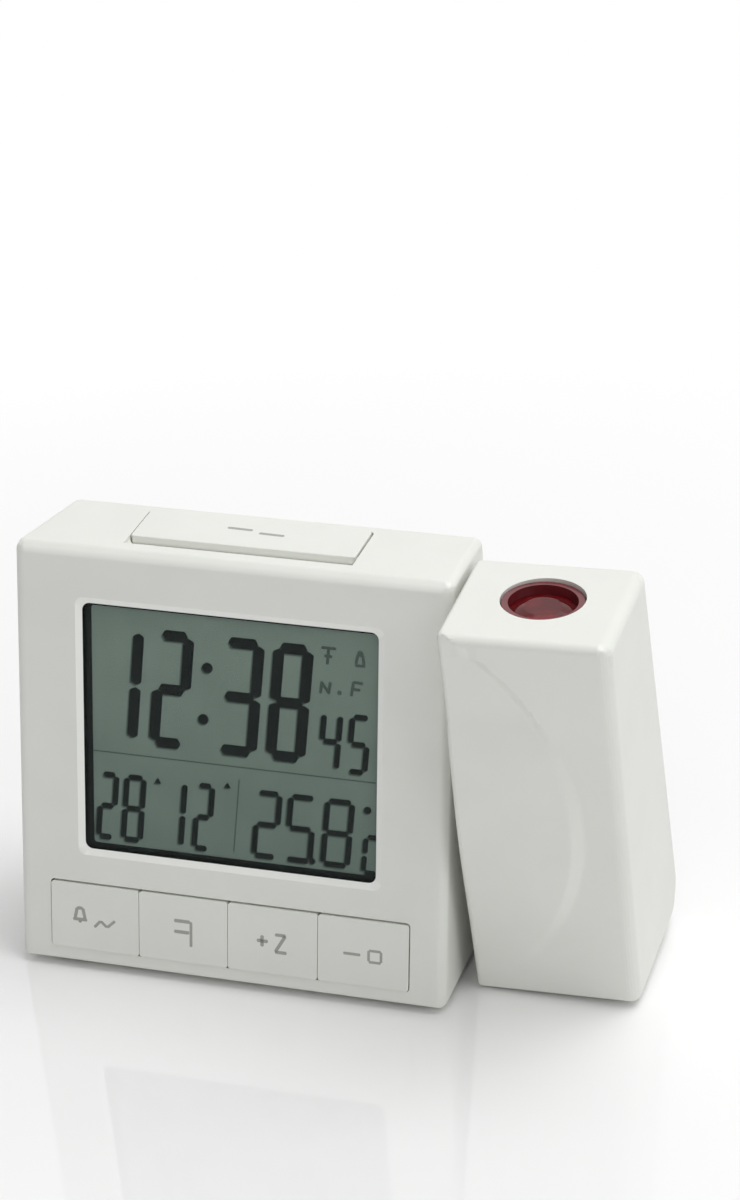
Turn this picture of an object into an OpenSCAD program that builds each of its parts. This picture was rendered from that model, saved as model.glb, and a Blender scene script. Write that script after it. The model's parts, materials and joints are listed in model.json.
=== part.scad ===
// Projection alarm clock: a wedge-shaped clock body with a projector arm that
// swings on a hollow shaft through the body's right wall.
// Frame: +X right, +Y back, +Z up, origin at the centre of the footprint.

/* [Body] */
// Width of the clock body
body_w = 92; // [88:1:110]
// Height of the front face, measured along its slope
face_h = 90; // [88:1:104]
// Lean of the front face from upright, in degrees
face_lean = 8.5; // [5:0.5:12]
// Depth of the body at its top
top_depth = 23; // [22:0.5:32]
// Depth of the body at its base
base_depth = 50; // [49:1:64]
// Inward slope of the left side, per millimetre of depth
side_draft = 0.22; // [0.05:0.01:0.24]
// Wall thickness of the mouldings
wall = 2; // [1.8:0.1:2.4]
// Radius of the outer edges
edge_r = 2.5; // [1.5:0.1:3]
// Radius of the body's rear edges
rear_edge_r = 1.4; // [0.8:0.1:1.6]
// Height of the rubber feet under the body
foot_h = 1.6; // [1:0.1:3]
// Radius of a rubber foot
foot_r = 4.5; // [3:0.5:6]
// Gap between parts that are assembled with a loose fit
fit_gap = 0.15; // [0.1:0.05:0.25]
// Gap between parts that move past each other
move_gap = 0.3; // [0.25:0.05:0.4]
// Radial clearance of a shaft in its bore
shaft_gap = 0.06; // [0.03:0.01:0.1]

/* [Display] */
// Distance from the display window to either side of the body
window_side = 15; // [14:0.5:20]
// Distance from the window's upper edge to the top of the face
window_top = 11.5; // [11:0.5:18]
// Height of the window's lower edge up the face
window_low = 25.5; // [25:0.5:28]
// Corner radius of the window
window_r = 1.6; // [0.8:0.1:3]
// How far the clear window reaches past its opening
window_lap = 1.5; // [1:0.1:2]
// Thickness of the clear window
window_t = 1.2; // [0.8:0.1:1.4]
// Thickness of the liquid crystal glass
lcd_t = 2.2; // [1.6:0.1:2.4]
// Thickness of the light guide behind the glass
guide_t = 2.6; // [2:0.1:3]
// Wall thickness of the display frame
frame_wall = 1.4; // [1:0.1:1.8]

/* [Keys] */
// Distance between the centres of two keys
key_pitch = 19.2; // [16:0.2:19.6]
// Height of a key
key_h = 15; // [12:0.5:15.5]
// Height of the keys' centres up the face
key_mid = 10.6; // [10.4:0.1:11.4]
// How far a key stands out of the face
key_proud = 0.25; // [0:0.05:0.6]
// Thickness of a key's cap
key_t = 1.8; // [1.4:0.1:2]
// Travel of a key
key_travel = 0.5; // [0.3:0.05:0.6]

/* [Snooze bar] */
// Width of the snooze bar
snooze_w = 47; // [36:1:52]
// Depth of the snooze bar
snooze_d = 12.6; // [9:0.2:13]
// How far the bar's opening lies behind the front top edge
snooze_back = 7; // [6:0.5:9]
// Centre of the bar, measured from the body's right side
snooze_mid = 45.5; // [44:0.5:52]
// How far the bar stands out of the top
snooze_proud = 0.4; // [0:0.1:1]
// Gap round the snooze bar
snooze_gap = 0.35; // [0.3:0.05:0.7]
// Travel of the snooze bar
snooze_travel = 0.8; // [0.4:0.1:1]

/* [Projector arm] */
// Width of the arm
arm_w = 34; // [32:0.5:40]
// Gap between body and arm at the top
arm_gap = 1; // [0.8:0.1:2]
// How much further out the arm stands at the table than at the top
arm_flare = 2.6; // [1:0.1:4]
// Height of the pivot over the table
pivot_z = 46; // [44:0.5:47]
// Distance of the pivot behind the body's front edge
pivot_y = 32; // [30:0.5:33]
// Distance from the pivot to the arm's front face
arm_front = 28.2; // [27.5:0.1:30]
// Distance from the pivot to the arm's top face
arm_up = 44.35; // [43.5:0.1:50]
// Distance from the pivot to the arm's back face
arm_back = 7.8; // [7.6:0.1:8]
// Distance from the pivot to the arm's underside
arm_down = 44.5; // [42:0.1:44.5]
// Forward lean of the arm's front face
arm_front_lean = 10.9; // [8:0.1:13]
// Forward lean of the arm's back face
arm_back_lean = 15.8; // [14:0.1:17]
// Slope of the arm's top and underside
arm_slope = 2.5; // [1.5:0.1:3]
// Radius of the arm's lower rear corner, which passes close over the table
tail_r = 7; // [7:0.5:9]
// Radius of the arm's edges on the body side
inner_edge_r = 1.2; // [0.6:0.1:1.6]
// Radius of the shaft
hub_r = 5; // [4:0.1:5.4]
// Radius of the wire passage through the shaft
hub_bore_r = 2.4; // [1.6:0.1:2.6]
// Largest backward swing of the arm, in degrees
arm_swing = 90; // [30:5:90]
// Radius of the moulded arc on the arm's front
arc_r = 54.5; // [48:0.5:60]
// Depth of the moulded arc
arc_depth = 0.8; // [0.2:0.1:1.2]

/* [Projector] */
// Radius of the lens opening in the arm's top
lens_hole_r = 8.4; // [8:0.1:9]
// Distance of the lens opening's centre behind the arm's front top edge
lens_back = 17.9; // [16:0.1:18.5]
// Outer radius of the lens barrel
barrel_r = 7.5; // [7:0.1:7.8]
// Length of the lens barrel
barrel_len = 20.4; // [19:0.1:21]
// Depth of the barrel's rim below the arm's top
barrel_deep = 0.2; // [0.1:0.1:1]
// Wall thickness of the optical tube
tube_wall = 1.3; // [1:0.1:1.4]
// Length of the optical tube
tube_len = 37; // [35:0.5:38]

/* [Focus] */
// Radius of the focus wheel
wheel_r = 8.6; // [8.4:0.1:9]
// Thickness of the focus wheel
wheel_t = 3; // [2:0.1:3.2]
// Height of the wheel's centre over the pivot
wheel_up = 26; // [24:0.5:28]
// Distance of the wheel's centre in front of the pivot
wheel_front = 6.2; // [6:0.1:6.6]
// Tooth size of rack and pinion
tooth_m = 0.6; // [0.5:0.05:0.6]
// Turn of the focus wheel from one end to the other, in degrees
focus_turn = 64; // [30:2:64]

/* [Power] */
// Radius of a battery cell
cell_r = 7.15; // [7:0.05:7.25]
// Length of a battery cell without its stud
cell_len = 49.2; // [44:0.2:49.4]
// Wall thickness of the battery bay
bay_wall = 1.5; // [1.2:0.1:1.6]
// Height of the lower cell's centre up the back face
cell_low = 14.2; // [14.1:0.1:15]
// Thickness of the battery door
door_t = 1.6; // [1.2:0.1:1.8]
// Radius of the hole for the power plug
jack_r = 2.9; // [2.6:0.1:3]

/* [Electronics] */
// Thickness of the circuit boards
board_t = 1.6; // [1:0.1:1.6]
// Depth of the main board behind the front face
board_deep = 9.9; // [9.6:0.1:11]
// Radius of the sounder
buzzer_r = 12.5; // [10:0.5:12.5]
// Thickness of the sounder
buzzer_t = 3.6; // [2:0.1:5]
// Radius of the aerial rod
rod_r = 3.5; // [2.5:0.1:3.8]
// Length of the aerial rod
rod_len = 46; // [36:1:50]

/* [Hidden] */
$fn = 48;
HULL_FN = 32;

shell_white = [0.86, 0.86, 0.83];
inner_white = [0.93, 0.93, 0.91];
board_green = [0.10, 0.32, 0.18];
dark_plastic = [0.12, 0.12, 0.13];
steel = [0.70, 0.71, 0.72];
red_tint = [0.45, 0.06, 0.08];

// ---- Body outline: each line of the side profile is [angle of its normal, distance]
top_z = foot_h + face_h * cos(face_lean);
top_y = face_h * sin(face_lean);
back_lean = atan((base_depth - top_y - top_depth) / (top_z - foot_h));
front_line = [180 - face_lean, foot_h * sin(face_lean)];
top_line = [90, top_z];
back_line = [back_lean, base_depth * cos(back_lean) + foot_h * sin(back_lean)];
base_line = [270, -foot_h];
body_lines = [front_line, top_line, back_line, base_line];

// The point where two such lines meet, once both are moved inwards
function meet(a, b, in) =
    let (p = a[1] - in, q = b[1] - in, s = sin(b[0] - a[0]))
    [(p * sin(b[0]) - q * sin(a[0])) / s, (q * cos(a[0]) - p * cos(b[0])) / s];
function depth_at(p) = front_line[1] - p[0] * cos(front_line[0]) - p[1] * sin(front_line[0]);
function left_x(p, in) = -body_w + side_draft * depth_at(p) + in * sqrt(1 + side_draft * side_draft);

// ---- Arm outline, about the pivot
arm_lines = [[180 + arm_front_lean, arm_front], [90 + arm_slope, arm_up],
    [arm_back_lean, arm_back], [270 + arm_slope, arm_down]];
function arm_x(z) = arm_gap + arm_flare * (top_z - z) / top_z;
arm_tilt = atan(arm_flare / top_z);
tail_mid = meet(arm_lines[2], arm_lines[3], tail_r);
tail_angles = [for (i = [0:4]) arm_back_lean + (arm_slope - 90 - arm_back_lean) * i / 4];
function arm_outline(in) = concat(
    [meet(arm_lines[3], arm_lines[0], in), meet(arm_lines[0], arm_lines[1], in),
        meet(arm_lines[1], arm_lines[2], in)],
    [for (a = tail_angles) tail_mid + (tail_r - in) * [cos(a), sin(a)]]);

// ---- Centre of the footprint
arm_front_top = meet(arm_lines[0], arm_lines[1], edge_r);
centre_x = (arm_x(pivot_z - arm_down) + arm_w - body_w) / 2;
centre_y = (pivot_y + arm_front_top[0] - edge_r + base_depth) / 2;
module place() {
    translate([-centre_x, -centre_y, 0])
        children();
}
// Front face frame: x along the width from the right side, y up the face, z out of it
module on_face() {
    translate([0, 0, foot_h])
        rotate([90 - face_lean, 0, 0])
            children();
}
// Back face frame: x along the width, y up the face, z into the body
module on_back() {
    translate([0, base_depth, foot_h])
        rotate([90 + back_lean, 0, 0])
            children();
}
// Arm frame: x to the back, y up, z out to the right, with its origin on the pivot
module on_arm() {
    translate([arm_x(pivot_z), pivot_y, pivot_z])
        rotate([0, -arm_tilt, 0])
            rotate([90, 0, 90])
                children();
}
// Pivot frame: z along the pivot's axis to the right, from the body's right side
module on_pivot() {
    translate([0, pivot_y, pivot_z])
        rotate([90, 0, 90])
            children();
}
// Optical axis frame: z up along the axis, from the middle of the lens opening
lens_x = arm_x(top_z) + arm_w / 2;
lens_mouth = meet(arm_lines[0], arm_lines[1], 0) + lens_back * [cos(arm_slope), sin(arm_slope)];
module on_optics() {
    translate([lens_x, pivot_y + lens_mouth[0], pivot_z + lens_mouth[1]])
        rotate([arm_slope, 0, 0])
            children();
}

// ---- Shared shapes
module rounded(w, h, r, t) {
    linear_extrude(t) {
        square([w - 2 * r, h], center = true);
        square([w, h - 2 * r], center = true);
        for (x = [-1, 1], y = [-1, 1])
            translate([x * (w / 2 - r), y * (h / 2 - r)])
                circle(r);
    }
}
module slab(low, size) {
    translate(low)
        cube(size);
}
module ring(r_out, r_in, t) {
    difference() {
        cylinder(r = r_out, h = t);
        translate([0, 0, -1])
            cylinder(r = r_in, h = t + 2);
    }
}
// A screw whose head sits on z = 0 and whose shank runs down
module screw(head_r, head_t, shank_r, shank_len) {
    difference() {
        union() {
            cylinder(r = head_r, h = head_t);
            translate([0, 0, -shank_len])
                cylinder(r = shank_r, h = shank_len + head_t / 2);
        }
        for (a = [0, 90])
            rotate([0, 0, a])
                slab([-0.7 * head_r, -0.15 * head_r, 0.45 * head_t], [1.4 * head_r, 0.3 * head_r, head_t]);
    }
}
// A round wire swept along points
function unit(v) = v / norm(v);
function heading(p, i) = unit(p[min(i + 1, len(p) - 1)] - p[max(i - 1, 0)]);
function side_of(t) = unit(cross(t, abs(t[2]) < 0.9 ? [0, 0, 1] : [0, 1, 0]));
module wire(p, r, sides = 8) {
    n = len(p);
    rings = [for (i = [0:n - 1]) let (t = heading(p, i), u = side_of(t), v = cross(t, u))
        for (k = [0:sides - 1]) p[i] + r * (cos(360 * k / sides) * u + sin(360 * k / sides) * v)];
    walls = [for (i = [0:n - 2], k = [0:sides - 1], half = [0, 1])
        let (m = (k + 1) % sides, a = i * sides + k, b = (i + 1) * sides + m)
        half == 0 ? [a, (i + 1) * sides + k, b] : [a, b, i * sides + m]];
    ends = [[for (k = [0:sides - 1]) k], [for (k = [sides - 1:-1:0]) (n - 1) * sides + k]];
    polyhedron(points = rings, faces = concat(walls, ends), convexity = 4);
}

// ---- Body solids
module body_block(in, front_r, rear_r, reach = 0) {
    lines = [body_lines[0], body_lines[1], [back_line[0], back_line[1] + reach], body_lines[3]];
    hull()
        for (i = [0:3]) {
            r = (i == 0 || i == 3) ? front_r : rear_r;
            c = meet(lines[i], lines[(i + 1) % 4], in + r);
            for (x = [left_x(c, in + r), -in - r])
                translate([x, c[0], c[1]])
                    sphere(r, $fn = HULL_FN);
        }
}
inner_r = 0.4;
rear_reach = 8;
module body_cavity(in) {
    body_block(in, inner_r, inner_r, rear_reach);
}

window_w = body_w - 2 * window_side;
window_h = face_h - window_low - window_top;
window_mid = [-body_w / 2, window_low + window_h / 2];
key_places = [for (i = [0:3]) -body_w / 2 + (i - 1.5) * key_pitch];
keys_w = 4 * key_pitch;
snooze_y = top_y + snooze_back + snooze_gap + snooze_d / 2;

// Screws of the rear cover: two high and two low, each in a boss off a side wall
boss_r = 2.9;
boss_len = 9.4;
pilot_r = 1.15;
shank_r = 1.1;
high_boss_z = top_z - wall - boss_r - 1.2;
low_boss_z = foot_h + wall + boss_r + 3.4;
function back_y(z) = base_depth - (z - foot_h) * tan(back_lean);
function wall_x(y, z) = left_x([y, z], wall);
function boss_x(z, side) = side < 0 ? wall_x(back_y(z), z) + boss_r + 0.3 : -wall - boss_r - 0.3;
boss_places = [for (z = [high_boss_z, low_boss_z], side = [-1, 1]) [boss_x(z, side), z, side]];
cover_t = 2;

// Main board and its posts
post_r = 1.9;
board_left = -body_w + wall + 3;
board_right = -wall - 2.6;
board_low = wall + 2;
board_high = face_h - wall - 2.4;
post_x = [board_left + post_r + 0.3, board_right - post_r - 0.3];
post_y = [window_low - 4.4, board_high - post_r];
board_screw_len = 5;

// Display frame
frame_lap = window_lap + 0.9 + frame_wall;
frame_w = window_w + 2 * frame_lap;
frame_h = window_h + 2 * frame_lap;
pocket_w = frame_w - 2 * frame_wall;
pocket_h = frame_h - 2 * frame_wall;
lcd_deep = wall + 0.15;
guide_deep = lcd_deep + lcd_t + 0.05;
frame_back = guide_deep + guide_t + 0.05;
strip_h = 2.4;
strip_low = window_mid[1] - pocket_h / 2 + 0.3;

// Shaft of the arm
hub_boss_r = hub_r + 3;
hub_boss_t = 2;
collar_r = hub_r + 2.2;
ring_t = 1.6;
ring_r = hub_r + 2.4;
hub_end = -wall - hub_boss_t - ring_t - 0.1;
washer_t = 1;

module front_housing() {
    difference() {
        union() {
            difference() {
                body_block(0, edge_r, rear_edge_r);
                body_cavity(wall);
            }
            intersection() {
                union() {
                    for (b = boss_places)
                        cover_boss(b);
                    on_pivot()
                        translate([0, 0, -wall - hub_boss_t])
                            cylinder(r = hub_boss_r, h = hub_boss_t + wall / 2);
                    on_face()
                        for (x = post_x, y = post_y)
                            translate([x, y, -board_deep])
                                cylinder(r = post_r, h = board_deep - wall / 2);
                }
                body_block(wall / 2, inner_r, inner_r);
            }
        }
        on_face() {
            translate([window_mid[0], window_mid[1], -wall - 1])
                rounded(window_w, window_h, window_r, wall + 2);
            translate([window_mid[0], window_mid[1], -wall - 1])
                rounded(window_w + 2 * window_lap + 2 * fit_gap, window_h + 2 * window_lap + 2 * fit_gap,
                    window_r, 1 + window_t);
            translate([-body_w / 2, key_mid, -wall - 1])
                rounded(keys_w + move_gap, key_h, 0.8, wall + 2);
            for (x = post_x, y = post_y)
                translate([x, y, -board_deep - 1])
                    cylinder(r = pilot_r, h = board_screw_len + 1);
        }
        translate([-snooze_mid, snooze_y, top_z - wall - 1])
            rounded(snooze_w + 2 * snooze_gap, snooze_d + 2 * snooze_gap, 1.2, wall + 2);
        on_pivot()
            translate([0, 0, -wall - hub_boss_t - 1])
                cylinder(r = hub_r + shaft_gap, h = wall + hub_boss_t + 2);
        for (b = boss_places)
            translate([b[0], back_y(b[1]) - cover_t - boss_len, b[1]])
                rotate([-90, 0, 0])
                    cylinder(r = pilot_r, h = boss_len + cover_t + 2);
        place_cover(cover_t + 0.02);
    }
}
// A boss with the web that joins it to its side wall
module cover_boss(b) {
    y = back_y(b[1]) - cover_t - boss_len;
    translate([b[0], y, b[1]])
        rotate([-90, 0, 0])
            cylinder(r = boss_r, h = boss_len + cover_t);
    slab([b[2] < 0 ? b[0] - 3 * boss_r : b[0], y, b[1] - 1], [3 * boss_r, boss_len + cover_t, 2]);
}
// The slot that the rear cover fills, cut a little deeper than the cover is thick
module place_cover(t) {
    intersection() {
        body_cavity(wall);
        on_back()
            slab([-2 * body_w, -face_h, -2 * rear_reach], [3 * body_w, 3 * face_h, 2 * rear_reach + t]);
    }
}

// ---- Rear cover with the battery bay
bay_gap = 0.4;
cell_pitch = 2 * cell_r + 0.7;
cell_deep = door_t + 0.5 + cell_r;
bay_low = cell_low - cell_r - bay_gap;
bay_high = cell_low + cell_pitch + cell_r + bay_gap;
spring_len = 5.2;
plate_t = 0.4;
stud_len = 1.1;
bay_w = cell_len + stud_len + spring_len + 2 * plate_t;
bay_right = -12.8;
bay_left = bay_right - bay_w;
bay_mid = (bay_left + bay_right) / 2;
bay_deep = cell_deep + cell_r + bay_gap;
knuckle_r = door_t;
knuckle_y = bay_low + knuckle_r + move_gap;
pin_r = 0.9;
pin_len = 1.1;
door_w = bay_w - 2 * move_gap;
door_top = bay_high - move_gap;
buzzer_at = [-body_w / 2 + 4, bay_high + bay_wall + buzzer_r + 1.6];
jack_at = [-16.5, bay_high + bay_wall + 22];
reset_at = [-body_w + 24, bay_high + 14];
sound_w = 1.1;
sound_len = 16;
sound_pitch = 2.6;
jack_w = 9;
jack_h = 11;
jack_len = 12;
reset_r = 1.5;
rod_y = face_h - wall - 16.5;
rod_deep = cover_t + 1.2 + rod_r + 1.1;
coil_r = rod_r + 1.1;
coil_len = 15;
rod_mid = -body_w / 2 + 2;
saddle_at = [for (s = [-1, 1]) rod_mid + s * (rod_len / 2 - 5)];

module rear_cover() {
    difference() {
        union() {
            intersection() {
                body_cavity(wall + fit_gap);
                on_back()
                    slab([-2 * body_w, -face_h, 0], [3 * body_w, 3 * face_h, cover_t]);
            }
            on_back() {
                slab([bay_left - bay_wall, bay_low - bay_wall, cover_t / 2],
                    [bay_w + 2 * bay_wall, bay_high - bay_low + 2 * bay_wall, bay_deep + bay_wall - cover_t / 2]);
                for (x = saddle_at)
                    slab([x - 1.5, rod_y - rod_r - 2, cover_t / 2], [3, 2 * rod_r + 4, rod_deep - cover_t / 2]);
                translate([buzzer_at[0], buzzer_at[1], cover_t / 2])
                    ring(buzzer_r + 1.4, buzzer_r + fit_gap, 2.4);
                translate([reset_at[0], reset_at[1], cover_t / 2])
                    cylinder(r = reset_r + 1.4, h = 5);
                for (s = [-1, 1])
                    slab([jack_at[0] + s * (jack_w / 2 + fit_gap + 0.6) - 0.6, jack_at[1] - jack_h / 2, cover_t / 2],
                        [1.2, jack_h, 5]);
            }
        }
        on_back() {
            slab([bay_left, bay_low, -1], [bay_w, bay_high - bay_low, bay_deep + 1]);
            for (s = [-1, 1])
                translate([s < 0 ? bay_left : bay_right, knuckle_y, knuckle_r])
                    rotate([0, 90 * s, 0])
                        cylinder(r = pin_r + shaft_gap, h = pin_len);
            for (x = saddle_at)
                translate([x - 3, rod_y, rod_deep])
                    rotate([0, 90, 0])
                        cylinder(r = rod_r + fit_gap, h = 6);
            for (i = [-3:3])
                translate([buzzer_at[0] + sound_pitch * i, buzzer_at[1], -1])
                    rounded(sound_w, sound_len - 1.2 * abs(i), 0.5, cover_t + 2);
            translate([jack_at[0], jack_at[1], -1])
                cylinder(r = jack_r + 1.1, h = cover_t + 2);
            translate([reset_at[0], reset_at[1], -1])
                cylinder(r = reset_r + move_gap, h = 8);
        }
        for (b = boss_places)
            translate([b[0], back_y(b[1]) - cover_t - 1, b[1]])
                rotate([-90, 0, 0]) {
                    cylinder(r = shank_r + fit_gap, h = cover_t + 3);
                    translate([0, 0, cover_t])
                        cylinder(r = boss_r - 0.4, h = 4);
                }
    }
}
module cover_screws() {
    for (b = boss_places)
        translate([b[0], back_y(b[1]) - 1, b[1]])
            rotate([-90, 0, 0])
                screw(boss_r - 0.8, 0.9, shank_r, 9);
}

// ---- Display stack
module display_window() {
    on_face()
        translate([window_mid[0], window_mid[1], -wall])
            rounded(window_w + 2 * window_lap, window_h + 2 * window_lap, window_r, window_t);
}
module display_frame() {
    on_face()
        translate([window_mid[0], window_mid[1], 0])
            difference() {
                slab([-frame_w / 2, -frame_h / 2, -board_deep], [frame_w, frame_h, board_deep - wall - 0.02]);
                slab([-pocket_w / 2, -pocket_h / 2, -frame_back], [pocket_w, pocket_h, board_deep]);
                slab([-pocket_w / 2 + 1, -pocket_h / 2, -board_deep - 1],
                    [pocket_w - 2, strip_h + 0.6, board_deep]);
                slab([-frame_w, -pocket_h / 2 + strip_h + 2.4, -board_deep - 1],
                    [2 * frame_w, pocket_h - strip_h - 4.8, board_deep - frame_back - 0.2]);
            }
}
module lcd_glass() {
    on_face()
        translate([window_mid[0], window_mid[1], -lcd_deep - lcd_t])
            rounded(pocket_w - 2 * fit_gap, pocket_h - 2 * fit_gap, 0.3, lcd_t);
}
guide_low = strip_h + 1.2;
module light_guide() {
    on_face()
        slab([window_mid[0] - pocket_w / 2 + fit_gap,
            window_mid[1] - pocket_h / 2 + guide_low, -guide_deep - guide_t],
            [pocket_w - 2 * fit_gap, pocket_h - guide_low - fit_gap - 1.6, guide_t]);
}
module contact_strip() {
    on_face()
        slab([window_mid[0] - pocket_w / 2 + 2.4, strip_low, -board_deep],
            [pocket_w - 4.8, strip_h - 0.6, board_deep - lcd_deep - lcd_t]);
}
module backlight_led() {
    on_face()
        for (x = [-1, 1])
            slab([window_mid[0] + x * pocket_w / 4 - 1.8,
                window_mid[1] + pocket_h / 2 - 1.6, -guide_deep - guide_t + 0.3],
                [3.6, 1.2, guide_t - 0.6]);
}

// ---- Main board and what it carries
module main_board() {
    on_face()
        translate([0, 0, -board_deep - board_t])
            difference() {
                slab([board_left, board_low, 0], [board_right - board_left, board_high - board_low, board_t]);
                slab([-snooze_mid - snooze_w / 2 - 4, board_high - 5, -1], [snooze_w + 8, 6, board_t + 2]);
                for (x = post_x, y = post_y)
                    translate([x, y, -1])
                        cylinder(r = shank_r + fit_gap, h = board_t + 2);
            }
}
module board_screws() {
    on_face()
        for (x = post_x, y = post_y)
            translate([x, y, -board_deep - board_t])
                rotate([180, 0, 0])
                    screw(post_r, 1.1, shank_r, board_t + board_screw_len - 0.6);
}
chip_w = 13;
chip_at = [-body_w / 2 - 8, window_low + 16];
module on_board_back(x, y) {
    on_face()
        translate([x, y, -board_deep - board_t])
            rotate([0, 180, 0])
                children();
}
module controller_chip() {
    on_board_back(chip_at[0], chip_at[1]) {
        translate([0, 0, 0.1])
            rounded(chip_w, chip_w, 0.5, 1.5);
        for (a = [0:90:270], i = [-4:4])
            rotate([0, 0, a])
                slab([chip_w / 2 - 0.3, 1.2 * i - 0.2, 0], [1.6, 0.4, 0.4]);
    }
}
module clock_crystal() {
    on_board_back(chip_at[0] + chip_w, chip_at[1] + 2)
        translate([0, 4, 1.5])
            rotate([90, 0, 0])
                cylinder(r = 1.5, h = 8);
}
switch_w = 6;
switch_t = 2.6;
plunger_r = 1.6;
plunger_t = 0.5;
module tact_switch() {
    rounded(switch_w, switch_w, 0.6, switch_t);
    cylinder(r = plunger_r, h = switch_t + plunger_t);
}
module key_switches() {
    on_face()
        for (x = key_places)
            translate([x, key_mid, -board_deep])
                tact_switch();
}
// The snooze switch lies behind the board and is pressed from above
snooze_switch_top = top_z - 7.4;
snooze_switch_y = (top_z - foot_h - 8) * tan(face_lean) + (board_deep + board_t) / cos(face_lean) + 3.6;
module snooze_switch() {
    translate([-snooze_mid, snooze_switch_y, snooze_switch_top - switch_t - plunger_t])
        tact_switch();
    on_board_back(-snooze_mid, board_high - 3.6)
        slab([-4, -2.6, 0], [8, 2.6, 7]);
}
module reset_switch() {
    on_board_back(reset_at[0], reset_board_y)
        slab([-2.6, -2.6, 0], [5.2, 5.2, reset_switch_t]);
}
// Where the reset key's line, square to the back, meets the rear of the main board
both_leans = face_lean + back_lean;
reset_switch_t = 2;
reset_span = (base_depth * cos(face_lean) - reset_at[1] * sin(both_leans) - board_deep - board_t)
    / cos(both_leans);
reset_board_y = base_depth * sin(face_lean) + reset_at[1] * cos(both_leans) - reset_span * sin(both_leans);
reset_travel = 0.6;
module temperature_sensor() {
    on_board_back(board_left + 5, window_low + 26) {
        for (s = [-1, 1])
            translate([0, 1.1 * s, 0])
                cylinder(r = 0.28, h = 7);
        translate([0, 0, 7.6])
            sphere(1.6);
    }
}
module lead_socket() {
    on_board_back(lead_x, (pivot_z - foot_h) / cos(face_lean) + 2.2)
        slab([-4, -3.2, 0], [8, 6.4, socket_t]);
}

// ---- Keys: a cap in the front wall, a flange behind it and a post to the switch
key_flange_t = 0.9;
key_lap = [0.2, 0.9];
module key_body(i) {
    on_face()
        translate([key_places[i], key_mid, 0]) {
            translate([0, 0, -wall - move_gap])
                rounded(key_pitch - move_gap, key_h - 2 * move_gap, 0.6, wall + move_gap + key_proud);
            translate([0, (key_lap[1] - key_lap[0]) / 2, -wall - move_gap - key_flange_t])
                rounded(key_pitch - move_gap, key_h + key_lap[0] + key_lap[1], 0.6, key_flange_t);
            post_end = -board_deep + switch_t + plunger_t + key_travel + move_gap;
            translate([0, 0, post_end])
                cylinder(r = 1.5, h = -wall - move_gap - post_end);
        }
}
module alarm_key() { key_body(0); }
module mode_key() { key_body(1); }
module up_key() { key_body(2); }
module down_key() { key_body(3); }

// ---- Snooze bar
module snooze_bar() {
    under = top_z - wall - move_gap;
    flange_t = 1;
    translate([-snooze_mid, snooze_y, 0]) {
        translate([0, 0, under])
            rounded(snooze_w, snooze_d, 0.9, top_z + snooze_proud - under);
        translate([0, 0, under - flange_t])
            rounded(snooze_w + 2.2, snooze_d + 1.6, 0.9, flange_t);
    }
    stem_end = snooze_switch_top + snooze_travel + move_gap;
    translate([-snooze_mid, snooze_switch_y, stem_end])
        cylinder(r = 2.4, h = under - stem_end);
}

// ---- Reset key: a thin plunger guided by the cover
module reset_key() {
    tip = reset_span - reset_switch_t / cos(both_leans) - reset_travel - 0.6;
    on_back()
        translate([reset_at[0], reset_at[1], 0.6])
            cylinder(r = reset_r, h = 6);
    on_back()
        translate([reset_at[0], reset_at[1], 5])
            cylinder(r = 1.1, h = tip - 5);
    on_back()
        translate([reset_at[0], reset_at[1], 6.6 + move_gap])
            cylinder(r = reset_r + 1.1, h = 1);
}

// ---- Sound, aerial and power
module buzzer() {
    on_back()
        translate([buzzer_at[0], buzzer_at[1], cover_t])
            difference() {
                cylinder(r = buzzer_r, h = buzzer_t);
                translate([0, 0, -1])
                    cylinder(r = buzzer_r - 5, h = 2);
            }
}
module aerial_rod() {
    on_back()
        translate([rod_mid - rod_len / 2, rod_y, rod_deep])
            rotate([0, 90, 0])
                cylinder(r = rod_r, h = rod_len);
}
module aerial_coil() {
    on_back()
        translate([rod_mid - coil_len / 2, rod_y, rod_deep])
            rotate([0, 90, 0])
                ring(coil_r, rod_r + 0.05, coil_len);
}
// A cell lies along the width; side tells which way its stud points
module cell(row, side) {
    on_back()
        translate([bay_mid + side * (spring_len - stud_len) / 2, cell_low + row * cell_pitch, cell_deep])
            rotate([0, 90 * side, 0]) {
                translate([0, 0, -cell_len / 2])
                    cylinder(r = cell_r, h = cell_len);
                translate([0, 0, cell_len / 2])
                    cylinder(r = 2.75, h = stud_len);
            }
}
module battery_lower() { cell(0, 1); }
module battery_upper() { cell(1, -1); }
module battery_springs() {
    turns = 3.5;
    steps = 12;
    for (row = [0, 1])
        on_back()
            translate([row == 0 ? bay_left + plate_t : bay_right - plate_t, cell_low + row * cell_pitch, cell_deep])
                rotate([0, row == 0 ? 90 : -90, 0])
                    wire([for (i = [0:turns * steps]) let (f = i / (turns * steps), r = 5 - 2.4 * f)
                        [r * cos(360 * i / steps), r * sin(360 * i / steps), 0.35 + f * (spring_len - 0.7)]],
                        0.35, 6);
}
module battery_plates() {
    on_back()
        for (x = [bay_left, bay_right - plate_t], row = [0, 1])
            slab([x, cell_low + row * cell_pitch - 5.6, cell_deep - 5], [plate_t, 11.2, 10.5]);
}
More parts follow.
